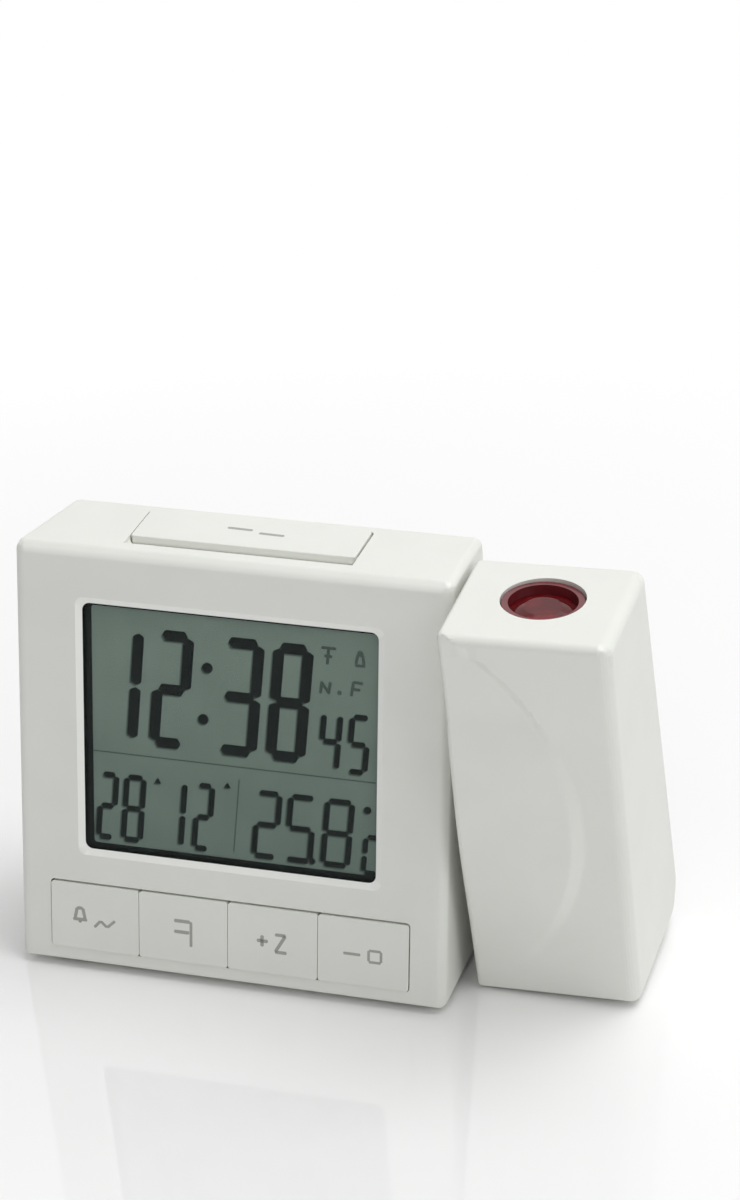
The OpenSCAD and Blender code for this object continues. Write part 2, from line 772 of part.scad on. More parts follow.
module battery_door() {
    latch_w = 9;
    on_back()
        difference() {
            union() {
                slab([bay_mid - door_w / 2, knuckle_y, 0], [door_w, door_top - knuckle_y, door_t]);
                translate([bay_mid - door_w / 2, knuckle_y, knuckle_r])
                    rotate([0, 90, 0])
                        cylinder(r = knuckle_r - move_gap, h = door_w);
                translate([bay_left - pin_len + 0.15, knuckle_y, knuckle_r])
                    rotate([0, 90, 0])
                        cylinder(r = pin_r, h = bay_w + 2 * pin_len - 0.3);
                slab([bay_mid - latch_w / 2, door_top - 1.6, door_t / 2], [latch_w, 1.2, 3]);
            }
            for (i = [0:3])
                slab([bay_mid - latch_w / 2, door_top - 4 - 1.6 * i, -1], [latch_w, 0.7, 1.4]);
        }
}
module power_jack() {
    on_back()
        translate([jack_at[0], jack_at[1], cover_t]) {
            difference() {
                slab([-jack_w / 2, -jack_h / 2, 0], [jack_w, jack_h, jack_len]);
                translate([0, 0, -1])
                    cylinder(r = jack_r, h = jack_len - 1);
            }
            cylinder(r = 1, h = jack_len - 1);
        }
}
module rubber_feet() {
    front_y = foot_r + 3.5;
    rear_y = base_depth - foot_r - 4;
    for (y = [front_y, rear_y])
        for (x = [left_x([y, foot_h], wall) + foot_r + 1.5, -foot_r - 4])
            translate([x, y, 0])
                cylinder(r = foot_r, h = foot_h);
}

// ---- Shaft parts
module friction_ring() {
    on_pivot()
        translate([0, 0, -wall - hub_boss_t - ring_t])
            ring(ring_r, hub_r + shaft_gap + 0.1, ring_t);
}
module pivot_washer() {
    difference() {
        on_pivot()
            translate([0, 0, hub_end - washer_t])
                ring(ring_r, hub_bore_r, washer_t);
        at_pivot_screws()
            translate([0, 0, -1])
                cylinder(r = pivot_screw_r + 0.03, h = washer_t + 2);
    }
}
pivot_screw_at = (hub_r + hub_bore_r) / 2;
pivot_screw_r = 0.7;
module at_pivot_screws() {
    for (a = [90, 210, 330])
        on_pivot()
            rotate([0, 0, a])
                translate([pivot_screw_at, 0, hub_end - washer_t])
                    children();
}
module pivot_screws() {
    at_pivot_screws()
        rotate([180, 0, 0])
            screw(1.25, 0.8, pivot_screw_r, 5);
}
board_rise = 2.2;
arm_board_t = 1.2;
wire_row = [-7, -15];
lead_r = 1.1;
lead_x = -14;
socket_t = 5;
projector_board_x = arm_x(pivot_z) + wall + board_rise;
module projector_lead() {
    board_y = (pivot_z - foot_h) * tan(face_lean) + (board_deep + board_t) / cos(face_lean);
    socket_y = board_y + socket_t / cos(face_lean);
    bend = 5;
    arc = [for (a = [0:15:90]) [lead_x + bend - bend * cos(a), pivot_y - bend + bend * sin(a), pivot_z]];
    wire(concat([[lead_x, socket_y + 0.4, pivot_z]], arc, [[projector_board_x - move_gap, pivot_y, pivot_z]]), lead_r, 12);
}

// ---- Arm shell
arm_post_r = 2.6;
arm_posts = [meet(arm_lines[0], arm_lines[1], wall + arm_post_r + 0.4),
    meet(arm_lines[1], arm_lines[2], wall + arm_post_r) + [0.4, -1.4],
    meet(arm_lines[3], arm_lines[0], wall + arm_post_r + 1.2),
    tail_mid + [-1, 3]];
plate_outer = wall + fit_gap;
module arm_block(in, left_r, right_r, open) {
    hull() {
        for (p = arm_outline(in + left_r))
            translate([arm_x(pivot_z + p[1]) + in + left_r - open, pivot_y + p[0], pivot_z + p[1]])
                sphere(left_r, $fn = HULL_FN);
        for (p = arm_outline(in + right_r))
            translate([arm_x(pivot_z + p[1]) + arm_w - in - right_r, pivot_y + p[0], pivot_z + p[1]])
                sphere(right_r, $fn = HULL_FN);
    }
}
wheel_at = [-wheel_front, wheel_up];
wheel_x = lens_x + barrel_r + tube_wall + 1 + wheel_t / 2;
axle_r = 1.2;
axle_end = wheel_x + wheel_t / 2 + 1.6;
bearing_x = lens_x + 4.2;
module at_wheel(x) {
    translate([x, pivot_y + wheel_at[0], pivot_z + wheel_at[1]])
        rotate([0, 90, 0])
            children();
}
module arm_cover() {
    difference() {
        union() {
            difference() {
                arm_block(0, inner_edge_r, edge_r, 0);
                arm_block(wall, inner_r, inner_r, 3 * wall);
            }
            intersection() {
                union() {
                    on_arm()
                        for (p = arm_posts)
                            translate([p[0], p[1], wall])
                                cylinder(r = arm_post_r, h = arm_w - wall - 1);
                    at_wheel(bearing_x)
                        bearing_rib();
                    at_wheel(wheel_x + wheel_t / 2 + move_gap)
                        cylinder(r = 2.6, h = 8);
                    tube_rests();
                }
                arm_block(wall / 2, inner_r, inner_r, 0);
            }
        }
        on_optics()
            translate([0, 0, -8])
                cylinder(r = lens_hole_r, h = 16);
        at_wheel(wheel_x - wheel_t / 2 - move_gap)
            cylinder(r = wheel_r + move_gap, h = wheel_t + 2 * move_gap);
        at_wheel(bearing_x - 1)
            cylinder(r = axle_r + shaft_gap, h = axle_end + 0.2 - bearing_x + 1);
        on_arm()
            for (p = arm_posts)
                translate([p[0], p[1], 0])
                    cylinder(r = pilot_r, h = 12);
        face_arc();
    }
}
// A rib from the back wall that carries the inner end of the wheel's axle
module bearing_rib() {
    rib_t = 2;
    cylinder(r = 2.6, h = rib_t);
    slab([-2.6, 0, 0], [5.2, 14, rib_t]);
}
// The shallow moulded arc on the front face, centred level with the pivot
module face_arc() {
    arc_mid_x = lens_x + 10.5 - arc_r;
    arc_rise = 4;
    translate([arc_mid_x, pivot_y, pivot_z])
        rotate([90 + arm_front_lean, 0, 0])
            translate([0, arc_rise, arm_front - arc_depth])
                cylinder(r = arc_r, h = 4);
}
tube_r = barrel_r + shaft_gap + tube_wall;
rest_t = 3;
rest_deep = [14, 36];
module tube_rests() {
    on_optics()
        for (d = rest_deep)
            difference() {
                slab([0, -5, -d - rest_t / 2], [arm_w / 2, 10, rest_t]);
                translate([0, 0, -d - rest_t])
                    cylinder(r = tube_r + 0.05, h = 2 * rest_t);
            }
}
module plate_rests() {
    on_optics()
        for (d = rest_deep) {
            reach = lens_x - arm_x(pivot_z + lens_mouth[1] - d) - wall / 2;
            difference() {
                slab([-reach, -4, -d - rest_t / 2], [reach, 8, rest_t]);
                translate([0, 0, -d - rest_t])
                    cylinder(r = tube_r + 0.05, h = 2 * rest_t);
            }
        }
}
module arm_side_plate() {
    difference() {
        union() {
            on_arm()
                linear_extrude(wall)
                    polygon(arm_outline(plate_outer));
            on_pivot()
                translate([0, 0, move_gap])
                    cylinder(r = collar_r, h = arm_x(pivot_z + collar_r) - 2 * move_gap);
            on_pivot()
                translate([0, 0, hub_end])
                    cylinder(r = hub_r, h = arm_x(pivot_z) - hub_end + wall / 2);
            on_arm()
                for (p = board_posts)
                    translate([p[0], p[1], wall / 2])
                        cylinder(r = 1.8, h = board_rise + wall / 2);
            plate_rests();
        }
        on_pivot()
            translate([0, 0, hub_end - 1])
                cylinder(r = hub_bore_r, h = 30);
        at_pivot_screws()
            cylinder(r = pivot_screw_r + 0.03, h = 7);
        on_arm()
            for (p = arm_posts)
                translate([p[0], p[1], -1]) {
                    cylinder(r = shank_r + fit_gap, h = wall + 2);
                    cylinder(r = arm_post_r - 0.3, h = 1 + 0.9);
                }
    }
}
board_posts = [[-8.5, 12], [-3, -19]];
arm_board_low = [-11, -22];
arm_board_w = 12.2;
arm_board_h = 37;
module projector_board() {
    on_arm()
        slab([arm_board_low[0], arm_board_low[1], wall + board_rise], [arm_board_w, arm_board_h, arm_board_t]);
}
module arm_screws() {
    on_arm()
        for (p = arm_posts)
            translate([p[0], p[1], 0.9])
                rotate([180, 0, 0])
                    screw(arm_post_r - 0.5, 0.7, shank_r, 8);
}

// ---- Projector optics: depths run down the axis from the lens opening
pinion_teeth = 9;
rim_t = 2.2;
tube_top = barrel_deep + rim_t + PI / 180 * focus_turn * tooth_m * pinion_teeth / 2 + 0.5;
led_board_t = 1.2;
led_deep = tube_top + tube_len + led_board_t;
lcd_at = 28.4;
condenser_at = 33.4;
module optical_tube() {
    on_optics()
        difference() {
            translate([0, 0, -tube_top - tube_len])
                cylinder(r = tube_r, h = tube_len);
            translate([0, 0, -tube_top - tube_len - 1])
                cylinder(r = barrel_r + shaft_gap, h = tube_len + 2);
            slab([-rack_w / 2 - move_gap, 0, rack_mid - 2.5 * rack_pitch - barrel_travel - move_gap],
                [rack_w + 2 * move_gap, 20, 30]);
            slab([-tube_r - 1, -6.2, -lcd_at - 0.9], [tube_r + 1 + 7.2, 12.4, 1.8]);
        }
}
// Two wires from the projector board to the light's board, each one smooth curve
function curve(a, b, c, d, t) = pow(1 - t, 3) * a + 3 * t * pow(1 - t, 2) * b + 3 * t * t * (1 - t) * c
    + t * t * t * d;
module arm_leads() {
    led_at = [lens_x, pivot_y + lens_mouth[0] + led_deep * sin(arm_slope),
        pivot_z + lens_mouth[1] - led_deep * cos(arm_slope) - 0.25];
    board_at = [arm_x(pivot_z + wire_row[1]) + wall + board_rise + arm_board_t + 0.05, pivot_y + wire_row[0],
        pivot_z + wire_row[1]];
    for (s = [-1, 1]) {
        start = led_at + [-3, 1.4 * s, 0];
        end = board_at + [0, 1.1 * s, 0];
        wire([for (t = [0:0.1:1]) curve(start, start - [0, 0, 5], end + [8, 0, 0], end, t)], 0.45, 8);
    }
}
module led_board() {
    on_optics()
        translate([0, 0, -led_deep])
            cylinder(r = tube_r, h = led_board_t);
}
module projector_led() {
    on_optics()
        translate([0, 0, -tube_top - tube_len]) {
            cylinder(r = 2.9, h = 1);
            cylinder(r = 2.5, h = 4);
            translate([0, 0, 4])
                sphere(2.5);
        }
}
module lens_shape(r, edge, bulge) {
    big = (r * r + bulge * bulge) / (2 * bulge);
    intersection() {
        translate([0, 0, -edge / 2 - bulge + big])
            sphere(big, $fn = 96);
        translate([0, 0, edge / 2 + bulge - big])
            sphere(big, $fn = 96);
        translate([0, 0, -edge])
            cylinder(r = r, h = 2 * edge);
    }
}
module condenser_lens() {
    on_optics()
        translate([0, 0, -condenser_at])
            lens_shape(barrel_r - 0.05, 2.4, 1.5);
}
module projection_lcd() {
    on_optics()
        slab([-8.6, -5.9, -lcd_at - 0.6], [15.4, 11.8, 1.2]);
}

// ---- Focus: a thumb wheel whose pinion drives a rack on the barrel
pitch_r = tooth_m * pinion_teeth / 2;
rack_w = 3;
rack_pitch = PI * tooth_m;
barrel_travel = pitch_r * focus_turn * PI / 180;
tooth_gap = 0.1;
axle_from_optics = pivot_y + wheel_at[0] - (pivot_y + lens_mouth[0]);
wheel_drop = lens_mouth[1] - wheel_at[1];
rack_line = axle_from_optics * cos(arm_slope) - wheel_drop * sin(arm_slope) - pitch_r;
rack_mid = -(wheel_drop * cos(arm_slope) + axle_from_optics * sin(arm_slope));
module rack() {
    base = barrel_r - 0.8;
    flank = tooth_m * tan(20);
    half = rack_pitch / 4 - tooth_gap;
    translate([0, 0, rack_mid])
        rotate([0, -90, 0])
            linear_extrude(rack_w, center = true) {
                translate([-2.5 * rack_pitch, base])
                    square([6.5 * rack_pitch, rack_line - 1.25 * tooth_m - base]);
                for (i = [-2:3])
                    translate([i * rack_pitch, rack_line])
                        polygon([[-half - 1.25 * flank, -1.3 * tooth_m], [-half + flank, tooth_m],
                            [half - flank, tooth_m], [half + 1.25 * flank, -1.3 * tooth_m]]);
            }
}
// An involute tooth flank, from the base circle outwards
base_r = pitch_r * cos(20);
function involute(a) = base_r * [cos(a) + a * PI / 180 * sin(a), sin(a) - a * PI / 180 * cos(a)];
function angle_of(p) = atan2(p[1], p[0]);
module pinion_shape() {
    roll = tan(20) * 180 / PI;
    half_tooth = 90 / pinion_teeth - tooth_gap / pitch_r * 180 / PI;
    start = angle_of(involute(roll)) + half_tooth;
    tip_roll = sqrt(pow((pitch_r + tooth_m) / base_r, 2) - 1) * 180 / PI;
    flank = [for (i = [0:4]) involute(tip_roll * i / 4)];
    circle(pitch_r - 1.2 * tooth_m);
    for (k = [0:pinion_teeth - 1])
        rotate(360 * k / pinion_teeth)
            polygon(concat([[0, 0]],
                [for (p = flank) [cos(start) * p[0] + sin(start) * p[1], -sin(start) * p[0] + cos(start) * p[1]]],
                [for (i = [4:-1:0]) let (p = flank[i])
                    [cos(start) * p[0] + sin(start) * p[1], sin(start) * p[0] - cos(start) * p[1]]]));
}
module focus_wheel() {
    at_wheel(wheel_x - wheel_t / 2)
        difference() {
            cylinder(r = wheel_r, h = wheel_t, $fn = 96);
            for (a = [0:10:350])
                rotate([0, 0, a])
                    translate([wheel_r, 0, -1])
                        cylinder(r = 0.35, h = wheel_t + 2, $fn = 16);
        }
    at_wheel(lens_x - rack_w / 2 - 0.5)
        cylinder(r = axle_r, h = axle_end - lens_x + rack_w / 2 + 0.5);
    at_wheel(lens_x - rack_w / 2)
        rotate([0, 0, arm_slope - 90 + 180 / pinion_teeth])
            linear_extrude(rack_w)
                pinion_shape();
}
rim_r = lens_hole_r - move_gap;
lens_seat = 4.4;
lens_r = barrel_r - 0.7;
lens_edge = 2;
lens_bulge = 1.4;
barrel_bore_r = barrel_r - 1.7;
lens_sag = lens_bulge * (1 - pow(barrel_bore_r / lens_r, 2)) + 0.03;
module lens_barrel() {
    on_optics() {
        difference() {
            union() {
                translate([0, 0, -barrel_deep - barrel_len])
                    cylinder(r = barrel_r, h = barrel_len);
                translate([0, 0, -barrel_deep - rim_t])
                    cylinder(r = rim_r, h = rim_t);
            }
            translate([0, 0, -barrel_deep - barrel_len - 1])
                cylinder(r = barrel_bore_r, h = barrel_len + 2);
            translate([0, 0, -barrel_deep - lens_seat])
                cylinder(r = lens_r + 0.05, h = lens_seat + 1);
        }
        rack();
    }
}
module projection_lens() {
    on_optics()
        translate([0, 0, -barrel_deep - lens_seat + lens_sag + lens_edge / 2])
            lens_shape(lens_r, lens_edge, lens_bulge);
}

// ---- The parts in their place
place() color(shell_white) front_housing();
place() color(shell_white) rear_cover();
place() color([0.6, 0.65, 0.65, 0.4]) display_window();
place() color(inner_white) display_frame();
place() color([0.43, 0.50, 0.47]) lcd_glass();
place() color(inner_white) light_guide();
place() color(dark_plastic) contact_strip();
place() color(board_green) main_board();
place() color(dark_plastic) controller_chip();
place() color(steel) clock_crystal();
place() color(inner_white) backlight_led();
place() color(dark_plastic) key_switches();
place() color(dark_plastic) snooze_switch();
place() color(dark_plastic) reset_switch();
place() color(steel) board_screws();
place() color(shell_white) snooze_bar();
place() color(shell_white) alarm_key();
place() color(shell_white) mode_key();
place() color(shell_white) up_key();
place() color(shell_white) down_key();
place() color(dark_plastic) reset_key();
place() color([0.2, 0.2, 0.22]) aerial_rod();
place() color([0.72, 0.40, 0.22]) aerial_coil();
place() color([0.80, 0.67, 0.35]) buzzer();
place() color([0.15, 0.2, 0.5]) temperature_sensor();
place() color([0.25, 0.45, 0.6]) battery_lower();
place() color([0.25, 0.45, 0.6]) battery_upper();
place() color(steel) battery_springs();
place() color(steel) battery_plates();
place() color(shell_white) battery_door();
place() color(dark_plastic) power_jack();
place() color(dark_plastic) rubber_feet();
place() color(steel) cover_screws();
place() color([0.3, 0.3, 0.32]) friction_ring();
place() color(inner_white) lead_socket();
place() color(dark_plastic) projector_lead();
place() color(shell_white) arm_cover();
place() color(shell_white) arm_side_plate();
place() color(steel) pivot_washer();
place() color(steel) pivot_screws();
place() color(steel) arm_screws();
place() color(dark_plastic) optical_tube();
place() color(board_green) projector_board();
place() color(red_tint) arm_leads();
place() color(board_green) led_board();
place() color([0.85, 0.1, 0.1]) projector_led();
place() color([0.8, 0.85, 0.9, 0.5]) condenser_lens();
place() color([0.2, 0.22, 0.22]) projection_lcd();
place() color(dark_plastic) focus_wheel();
place() color(dark_plastic) lens_barrel();
place() color(red_tint) projection_lens();
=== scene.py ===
import json
import math
import bmesh
import bpy
from mathutils import Matrix, Vector


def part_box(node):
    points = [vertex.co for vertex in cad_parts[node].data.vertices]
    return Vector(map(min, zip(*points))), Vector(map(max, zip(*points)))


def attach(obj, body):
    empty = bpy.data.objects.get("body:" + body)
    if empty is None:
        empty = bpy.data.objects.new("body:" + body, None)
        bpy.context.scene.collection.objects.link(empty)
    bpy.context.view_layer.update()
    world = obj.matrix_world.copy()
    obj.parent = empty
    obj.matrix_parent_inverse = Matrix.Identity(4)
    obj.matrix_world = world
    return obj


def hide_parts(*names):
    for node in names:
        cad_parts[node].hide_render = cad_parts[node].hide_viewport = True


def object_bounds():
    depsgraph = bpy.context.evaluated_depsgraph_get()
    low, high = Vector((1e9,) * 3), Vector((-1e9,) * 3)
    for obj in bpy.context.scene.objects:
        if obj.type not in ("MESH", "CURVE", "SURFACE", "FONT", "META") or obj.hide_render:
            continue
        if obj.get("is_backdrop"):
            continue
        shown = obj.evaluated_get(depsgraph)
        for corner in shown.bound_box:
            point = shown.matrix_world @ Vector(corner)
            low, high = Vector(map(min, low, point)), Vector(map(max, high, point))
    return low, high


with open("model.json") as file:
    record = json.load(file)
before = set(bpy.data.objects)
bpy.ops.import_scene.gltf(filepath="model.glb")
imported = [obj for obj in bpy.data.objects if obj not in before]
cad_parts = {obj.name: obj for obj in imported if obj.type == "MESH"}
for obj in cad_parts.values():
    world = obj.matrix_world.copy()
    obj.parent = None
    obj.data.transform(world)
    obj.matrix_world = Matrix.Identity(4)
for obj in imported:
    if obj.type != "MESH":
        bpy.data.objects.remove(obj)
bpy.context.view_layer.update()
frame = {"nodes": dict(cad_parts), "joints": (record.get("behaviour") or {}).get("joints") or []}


# ---- Camera: it looks down on a bedside table, from in front of the clock and a little to its right.
# All lengths from here on are millimetres, counted from the body's front bottom right corner on
# the table. The pivot of the projector arm lies 32 mm behind and 46 mm above that corner.
mm = 0.001
pivot = Vector((0, 32, 46))
hinge = [Vector(j["pos_m"]) for j in frame["joints"] if j["name"] == "arm_swivel"][0]
to_frame = Matrix.Translation(hinge) @ Matrix.Scale(mm, 4) @ Matrix.Translation(-pivot)

camera_at = Vector((160.9, -560.98, 381.83))
yaw, pitch, roll = math.radians(17.203), math.radians(26.222), math.radians(-1.936)
bpy.ops.object.camera_add(location=to_frame @ camera_at)
camera = bpy.context.object
camera.matrix_world = (camera.matrix_world @ Matrix.Rotation(yaw, 4, "Z")
    @ Matrix.Rotation(math.pi / 2 - pitch, 4, "X") @ Matrix.Rotation(roll, 4, "Z"))
camera.data.lens = 102.99
camera.data.clip_start = 0.02
bpy.context.scene.camera = camera


# ---- Stage: a white lacquered table top in a white room. A big soft lamp above the clock, to its
# right, gives most of the light. A weaker one hangs behind, and two small ones, in front and at
# the right, lift the faces that look that way. All its lengths are metres.
def colour(code):
    """Turns an sRGB code such as #ffffff into linear red, green, blue and alpha."""
    parts = [int(code[i:i + 2], 16) / 255 for i in (1, 3, 5)]
    return [p / 12.92 if p <= 0.04045 else ((p + 0.055) / 1.055) ** 2.4 for p in parts] + [1]


def add(owner, kind, inputs=None, **settings):
    """Adds a node to a material or world: inputs are values or links, settings its own."""
    node = owner.node_tree.nodes.new(kind)
    for name, value in settings.items():
        setattr(node, name, value)
    for name, value in (inputs or {}).items():
        if isinstance(value, bpy.types.Node):
            value = value.outputs[0]
        if isinstance(value, bpy.types.NodeSocket):
            owner.node_tree.links.new(value, node.inputs[name])
        else:
            node.inputs[name].default_value = value
    return node


def new_material(name):
    """A material with an empty node tree."""
    made = bpy.data.materials.new(name)
    made.use_nodes = True
    made.node_tree.nodes.clear()
    return made


def seen_directly(owner):
    """1 for what the camera sees, straight or by a mirror or glass, and 0 for light."""
    path = add(owner, "ShaderNodeLightPath").outputs
    near = add(owner, "ShaderNodeMath", {0: path["Is Camera Ray"], 1: path["Is Glossy Ray"]},
        operation="MAXIMUM")
    return add(owner, "ShaderNodeMath", {0: near, 1: path["Is Transmission Ray"]}, operation="MAXIMUM")


room_light = 0.29
room = bpy.data.worlds.new("white_room")
room.use_nodes = True
room.node_tree.nodes.clear()
soft = add(room, "ShaderNodeBackground", {"Color": colour("#ffffff"), "Strength": room_light})
white = add(room, "ShaderNodeBackground", {"Color": colour("#ffffff"), "Strength": 1})
both = add(room, "ShaderNodeMixShader", {0: seen_directly(room), 1: soft, 2: white})
add(room, "ShaderNodeOutputWorld", {"Surface": both})
bpy.context.scene.world = room

# Lacquered white table top: nearly pure white. The clock shows in it as a faint sharp reflection,
# and a little way off the table fades into the white room.
fade_from, fade_to, table_size = 0.08, 0.32, 6
table = new_material("white_lacquered_table")
lacquer = add(table, "ShaderNodeBsdfPrincipled",
    {"Base Color": colour("#fdfdfd"), "Roughness": 0.05, "IOR": 1.7})
glow = add(table, "ShaderNodeEmission", {"Color": colour("#ffffff"), "Strength": 1.0})
spot = add(table, "ShaderNodeTexCoord").outputs["Object"]
away = add(table, "ShaderNodeVectorMath", {0: spot}, operation="LENGTH").outputs["Value"]
fade = add(table, "ShaderNodeMapRange",
    {"Value": away, "From Min": fade_from, "From Max": fade_to, "To Min": 0.0, "To Max": 1.0})
camera_ray = add(table, "ShaderNodeLightPath").outputs["Is Camera Ray"]
share = add(table, "ShaderNodeMath", {0: camera_ray, 1: fade}, operation="MULTIPLY")
mixed = add(table, "ShaderNodeMixShader", {0: share, 1: lacquer, 2: glow})
add(table, "ShaderNodeOutputMaterial", {"Surface": mixed})
bpy.ops.mesh.primitive_plane_add(size=table_size)
floor = bpy.context.object
floor.name = "table_top"
floor.data.materials.append(table)
floor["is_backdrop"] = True

lamp_aim = Vector((0, 0, 0.04))


def lamp(name, at, size, watts):
    """A square soft lamp that faces the clock."""
    bpy.ops.object.light_add(type="AREA", location=at)
    made = bpy.context.object
    made.name = name
    made.data.size = size
    made.data.energy = watts
    made.rotation_euler = (lamp_aim - Vector(at)).to_track_quat("-Z", "Y").to_euler()


lamp("overhead_lamp", (0.45, 0.10, 1.25), 0.9, 9.3)
lamp("rear_lamp", (0.1, 0.6, 1.2), 0.9, 2.6)
lamp("front_lamp", (0.0, -0.9, 0.9), 0.5, 1.4)
lamp("right_lamp", (0.9, -0.5, 0.75), 0.5, 1.3)
bpy.context.scene.view_settings.view_transform = "Standard"


# ---- Front housing: the clock's wedge-shaped tub, injection moulded in white ABS with a fine
# satin grain. It leans back over its foot, and holds window, keys and snooze bar in openings.
body_w, face_h, face_lean = 92, 90, math.radians(8.5)
top_depth, base_depth, foot_h = 23, 50, 1.6
side_draft, wall = 0.22, 2
edge_r, rear_r, base_edge_r = 2.5, 1.4, 1
left_inset = 0.02
top_z = foot_h + face_h * math.cos(face_lean)
back_lean = math.atan((base_depth - face_h * math.sin(face_lean) - top_depth) / (top_z - foot_h))
face = Matrix.Translation((0, 0, foot_h)) @ Matrix.Rotation(math.pi / 2 - face_lean, 4, "X")


def box(name, low, high):
    """A cube primitive from corner low to corner high."""
    low, high = Vector(low), Vector(high)
    bpy.ops.object.select_all(action="DESELECT")
    bpy.ops.mesh.primitive_cube_add(size=1, location=(low + high) / 2, scale=high - low)
    bpy.ops.object.transform_apply(location=True, rotation=True, scale=True)
    bpy.context.object.name = name
    return bpy.context.object


def rod(name, radius, low, high, at=(0, 0), sides=64):
    """A cylinder primitive along z, from low to high."""
    bpy.ops.object.select_all(action="DESELECT")
    bpy.ops.mesh.primitive_cylinder_add(vertices=sides, radius=radius, depth=high - low,
        location=(at[0], at[1], (low + high) / 2))
    bpy.ops.object.transform_apply(location=True, rotation=True, scale=True)
    bpy.context.object.name = name
    return bpy.context.object


def pick(piece, kind, wanted):
    """Opens piece in edit mode with the VERTs, EDGEs or FACEs selected that wanted accepts."""
    bpy.ops.object.select_all(action="DESELECT")
    piece.select_set(True)
    bpy.context.view_layer.objects.active = piece
    bpy.ops.object.mode_set(mode="EDIT")
    bpy.ops.mesh.select_mode(type=kind)
    bpy.ops.mesh.select_all(action="DESELECT")
    edit = bmesh.from_edit_mesh(piece.data)
    for item in {"VERT": edit.verts, "EDGE": edit.edges, "FACE": edit.faces}[kind]:
        if wanted(item):
            item.select_set(True)
    edit.select_flush_mode()
    bmesh.update_edit_mesh(piece.data)


def close_edit():
    bpy.ops.object.mode_set(mode="OBJECT")


def middle(edge):
    return (edge.verts[0].co + edge.verts[1].co) / 2


def along(edge, axis):
    """True if the edge runs along that axis, which is 0, 1 or 2."""
    run = edge.verts[1].co - edge.verts[0].co
    return abs(run[axis]) > 0.9 * run.length


def seat(piece, place):
    """Moves the piece to its place, inside its mesh."""
    piece.data.transform(place)
    return piece


def change(piece, kind, **settings):
    """Adds a modifier and applies it."""
    bpy.context.view_layer.objects.active = piece
    modifier = piece.modifiers.new(kind.lower(), kind)
    for name, value in settings.items():
        setattr(modifier, name, value)
    bpy.ops.object.modifier_apply(modifier=modifier.name)


def cut(piece, tool, operation="DIFFERENCE"):
    """Cuts the tool out of the piece, or joins it on."""
    change(piece, "BOOLEAN", object=tool, operation=operation, solver="EXACT")
    bpy.data.objects.remove(tool)


def plate(name, width, height, low, high, corner, at=(0, 0)):
    """A slab with round corners, across x and y and from low to high in z."""
    made = box(name, (at[0] - width / 2, at[1] - height / 2, low),
        (at[0] + width / 2, at[1] + height / 2, high))
    pick(made, "EDGE", lambda e: along(e, 2))
    bpy.ops.mesh.bevel(offset=corner, segments=6, affect="EDGES")
    close_edit()
    return made


def soften(piece, width, segments=2):
    """Breaks the sharp edges, and smooths the shading between them."""
    sharp = math.radians(24)
    pick(piece, "VERT", lambda v: True)
    bpy.ops.mesh.remove_doubles(threshold=0.01)
    close_edit()
    change(piece, "BEVEL", width=width, segments=segments, limit_method="ANGLE", angle_limit=sharp,
        use_clamp_overlap=True)
    bpy.ops.object.select_all(action="DESELECT")
    piece.select_set(True)
    bpy.context.view_layer.objects.active = piece
    bpy.ops.object.shade_smooth_by_angle(angle=sharp)
    change(piece, "WEIGHTED_NORMAL", keep_sharp=True, weight=100)


def fit(piece, body, slot, *nodes):
    """Sets the piece into the frame, on its body, in place of its CAD nodes."""
    piece.data.transform(to_frame)
    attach(piece, body)
    if nodes:
        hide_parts(*nodes)


def round_off(piece, radius_at, segments=6):
    """Rounds each edge to the radius that radius_at gives for the places of its two ends."""
    edit = bmesh.new()
    edit.from_mesh(piece.data)
    widths = [radius_at(*[v.co for v in e.verts]) * math.tan(e.calc_face_angle() / 2)
        for e in edit.edges]
    edit.free()
    weights = piece.data.attributes.new("bevel_weight_edge", "FLOAT", "EDGE")
    for edge, width in enumerate(widths):
        weights.data[edge].value = width / max(widths)
    change(piece, "BEVEL", width=max(widths), segments=segments, limit_method="WEIGHT")


def front_y(z):
    return (z - foot_h) * math.tan(face_lean)


def back_y(z):
    return base_depth - (z - foot_h) * math.tan(back_lean)


def left_x(y, z):
    return left_inset - body_w + side_draft * (y - front_y(z)) * math.cos(face_lean)


def wedge(name, inset, behind=0):
    """The body's outer form, moved in by inset; behind carries its rear face further back."""
    made = box(name, (-body_w, 0, foot_h + inset), (0, base_depth, top_z - inset))
    places = [v.co.copy() for v in made.data.vertices]
    for index, old in enumerate(places):
        at_front, at_left = old.y < base_depth / 2, old.x < -body_w / 2
        y = (front_y(old.z) + inset / math.cos(face_lean) if at_front
            else back_y(old.z) + (behind - inset) / math.cos(back_lean))
        x = left_x(y, old.z) + inset * math.hypot(1, side_draft) if at_left else -inset
        pick(made, "VERT", lambda v: v.index == index)
        bpy.ops.transform.translate(value=Vector((x, y, old.z)) - old)
        close_edit()
    return made


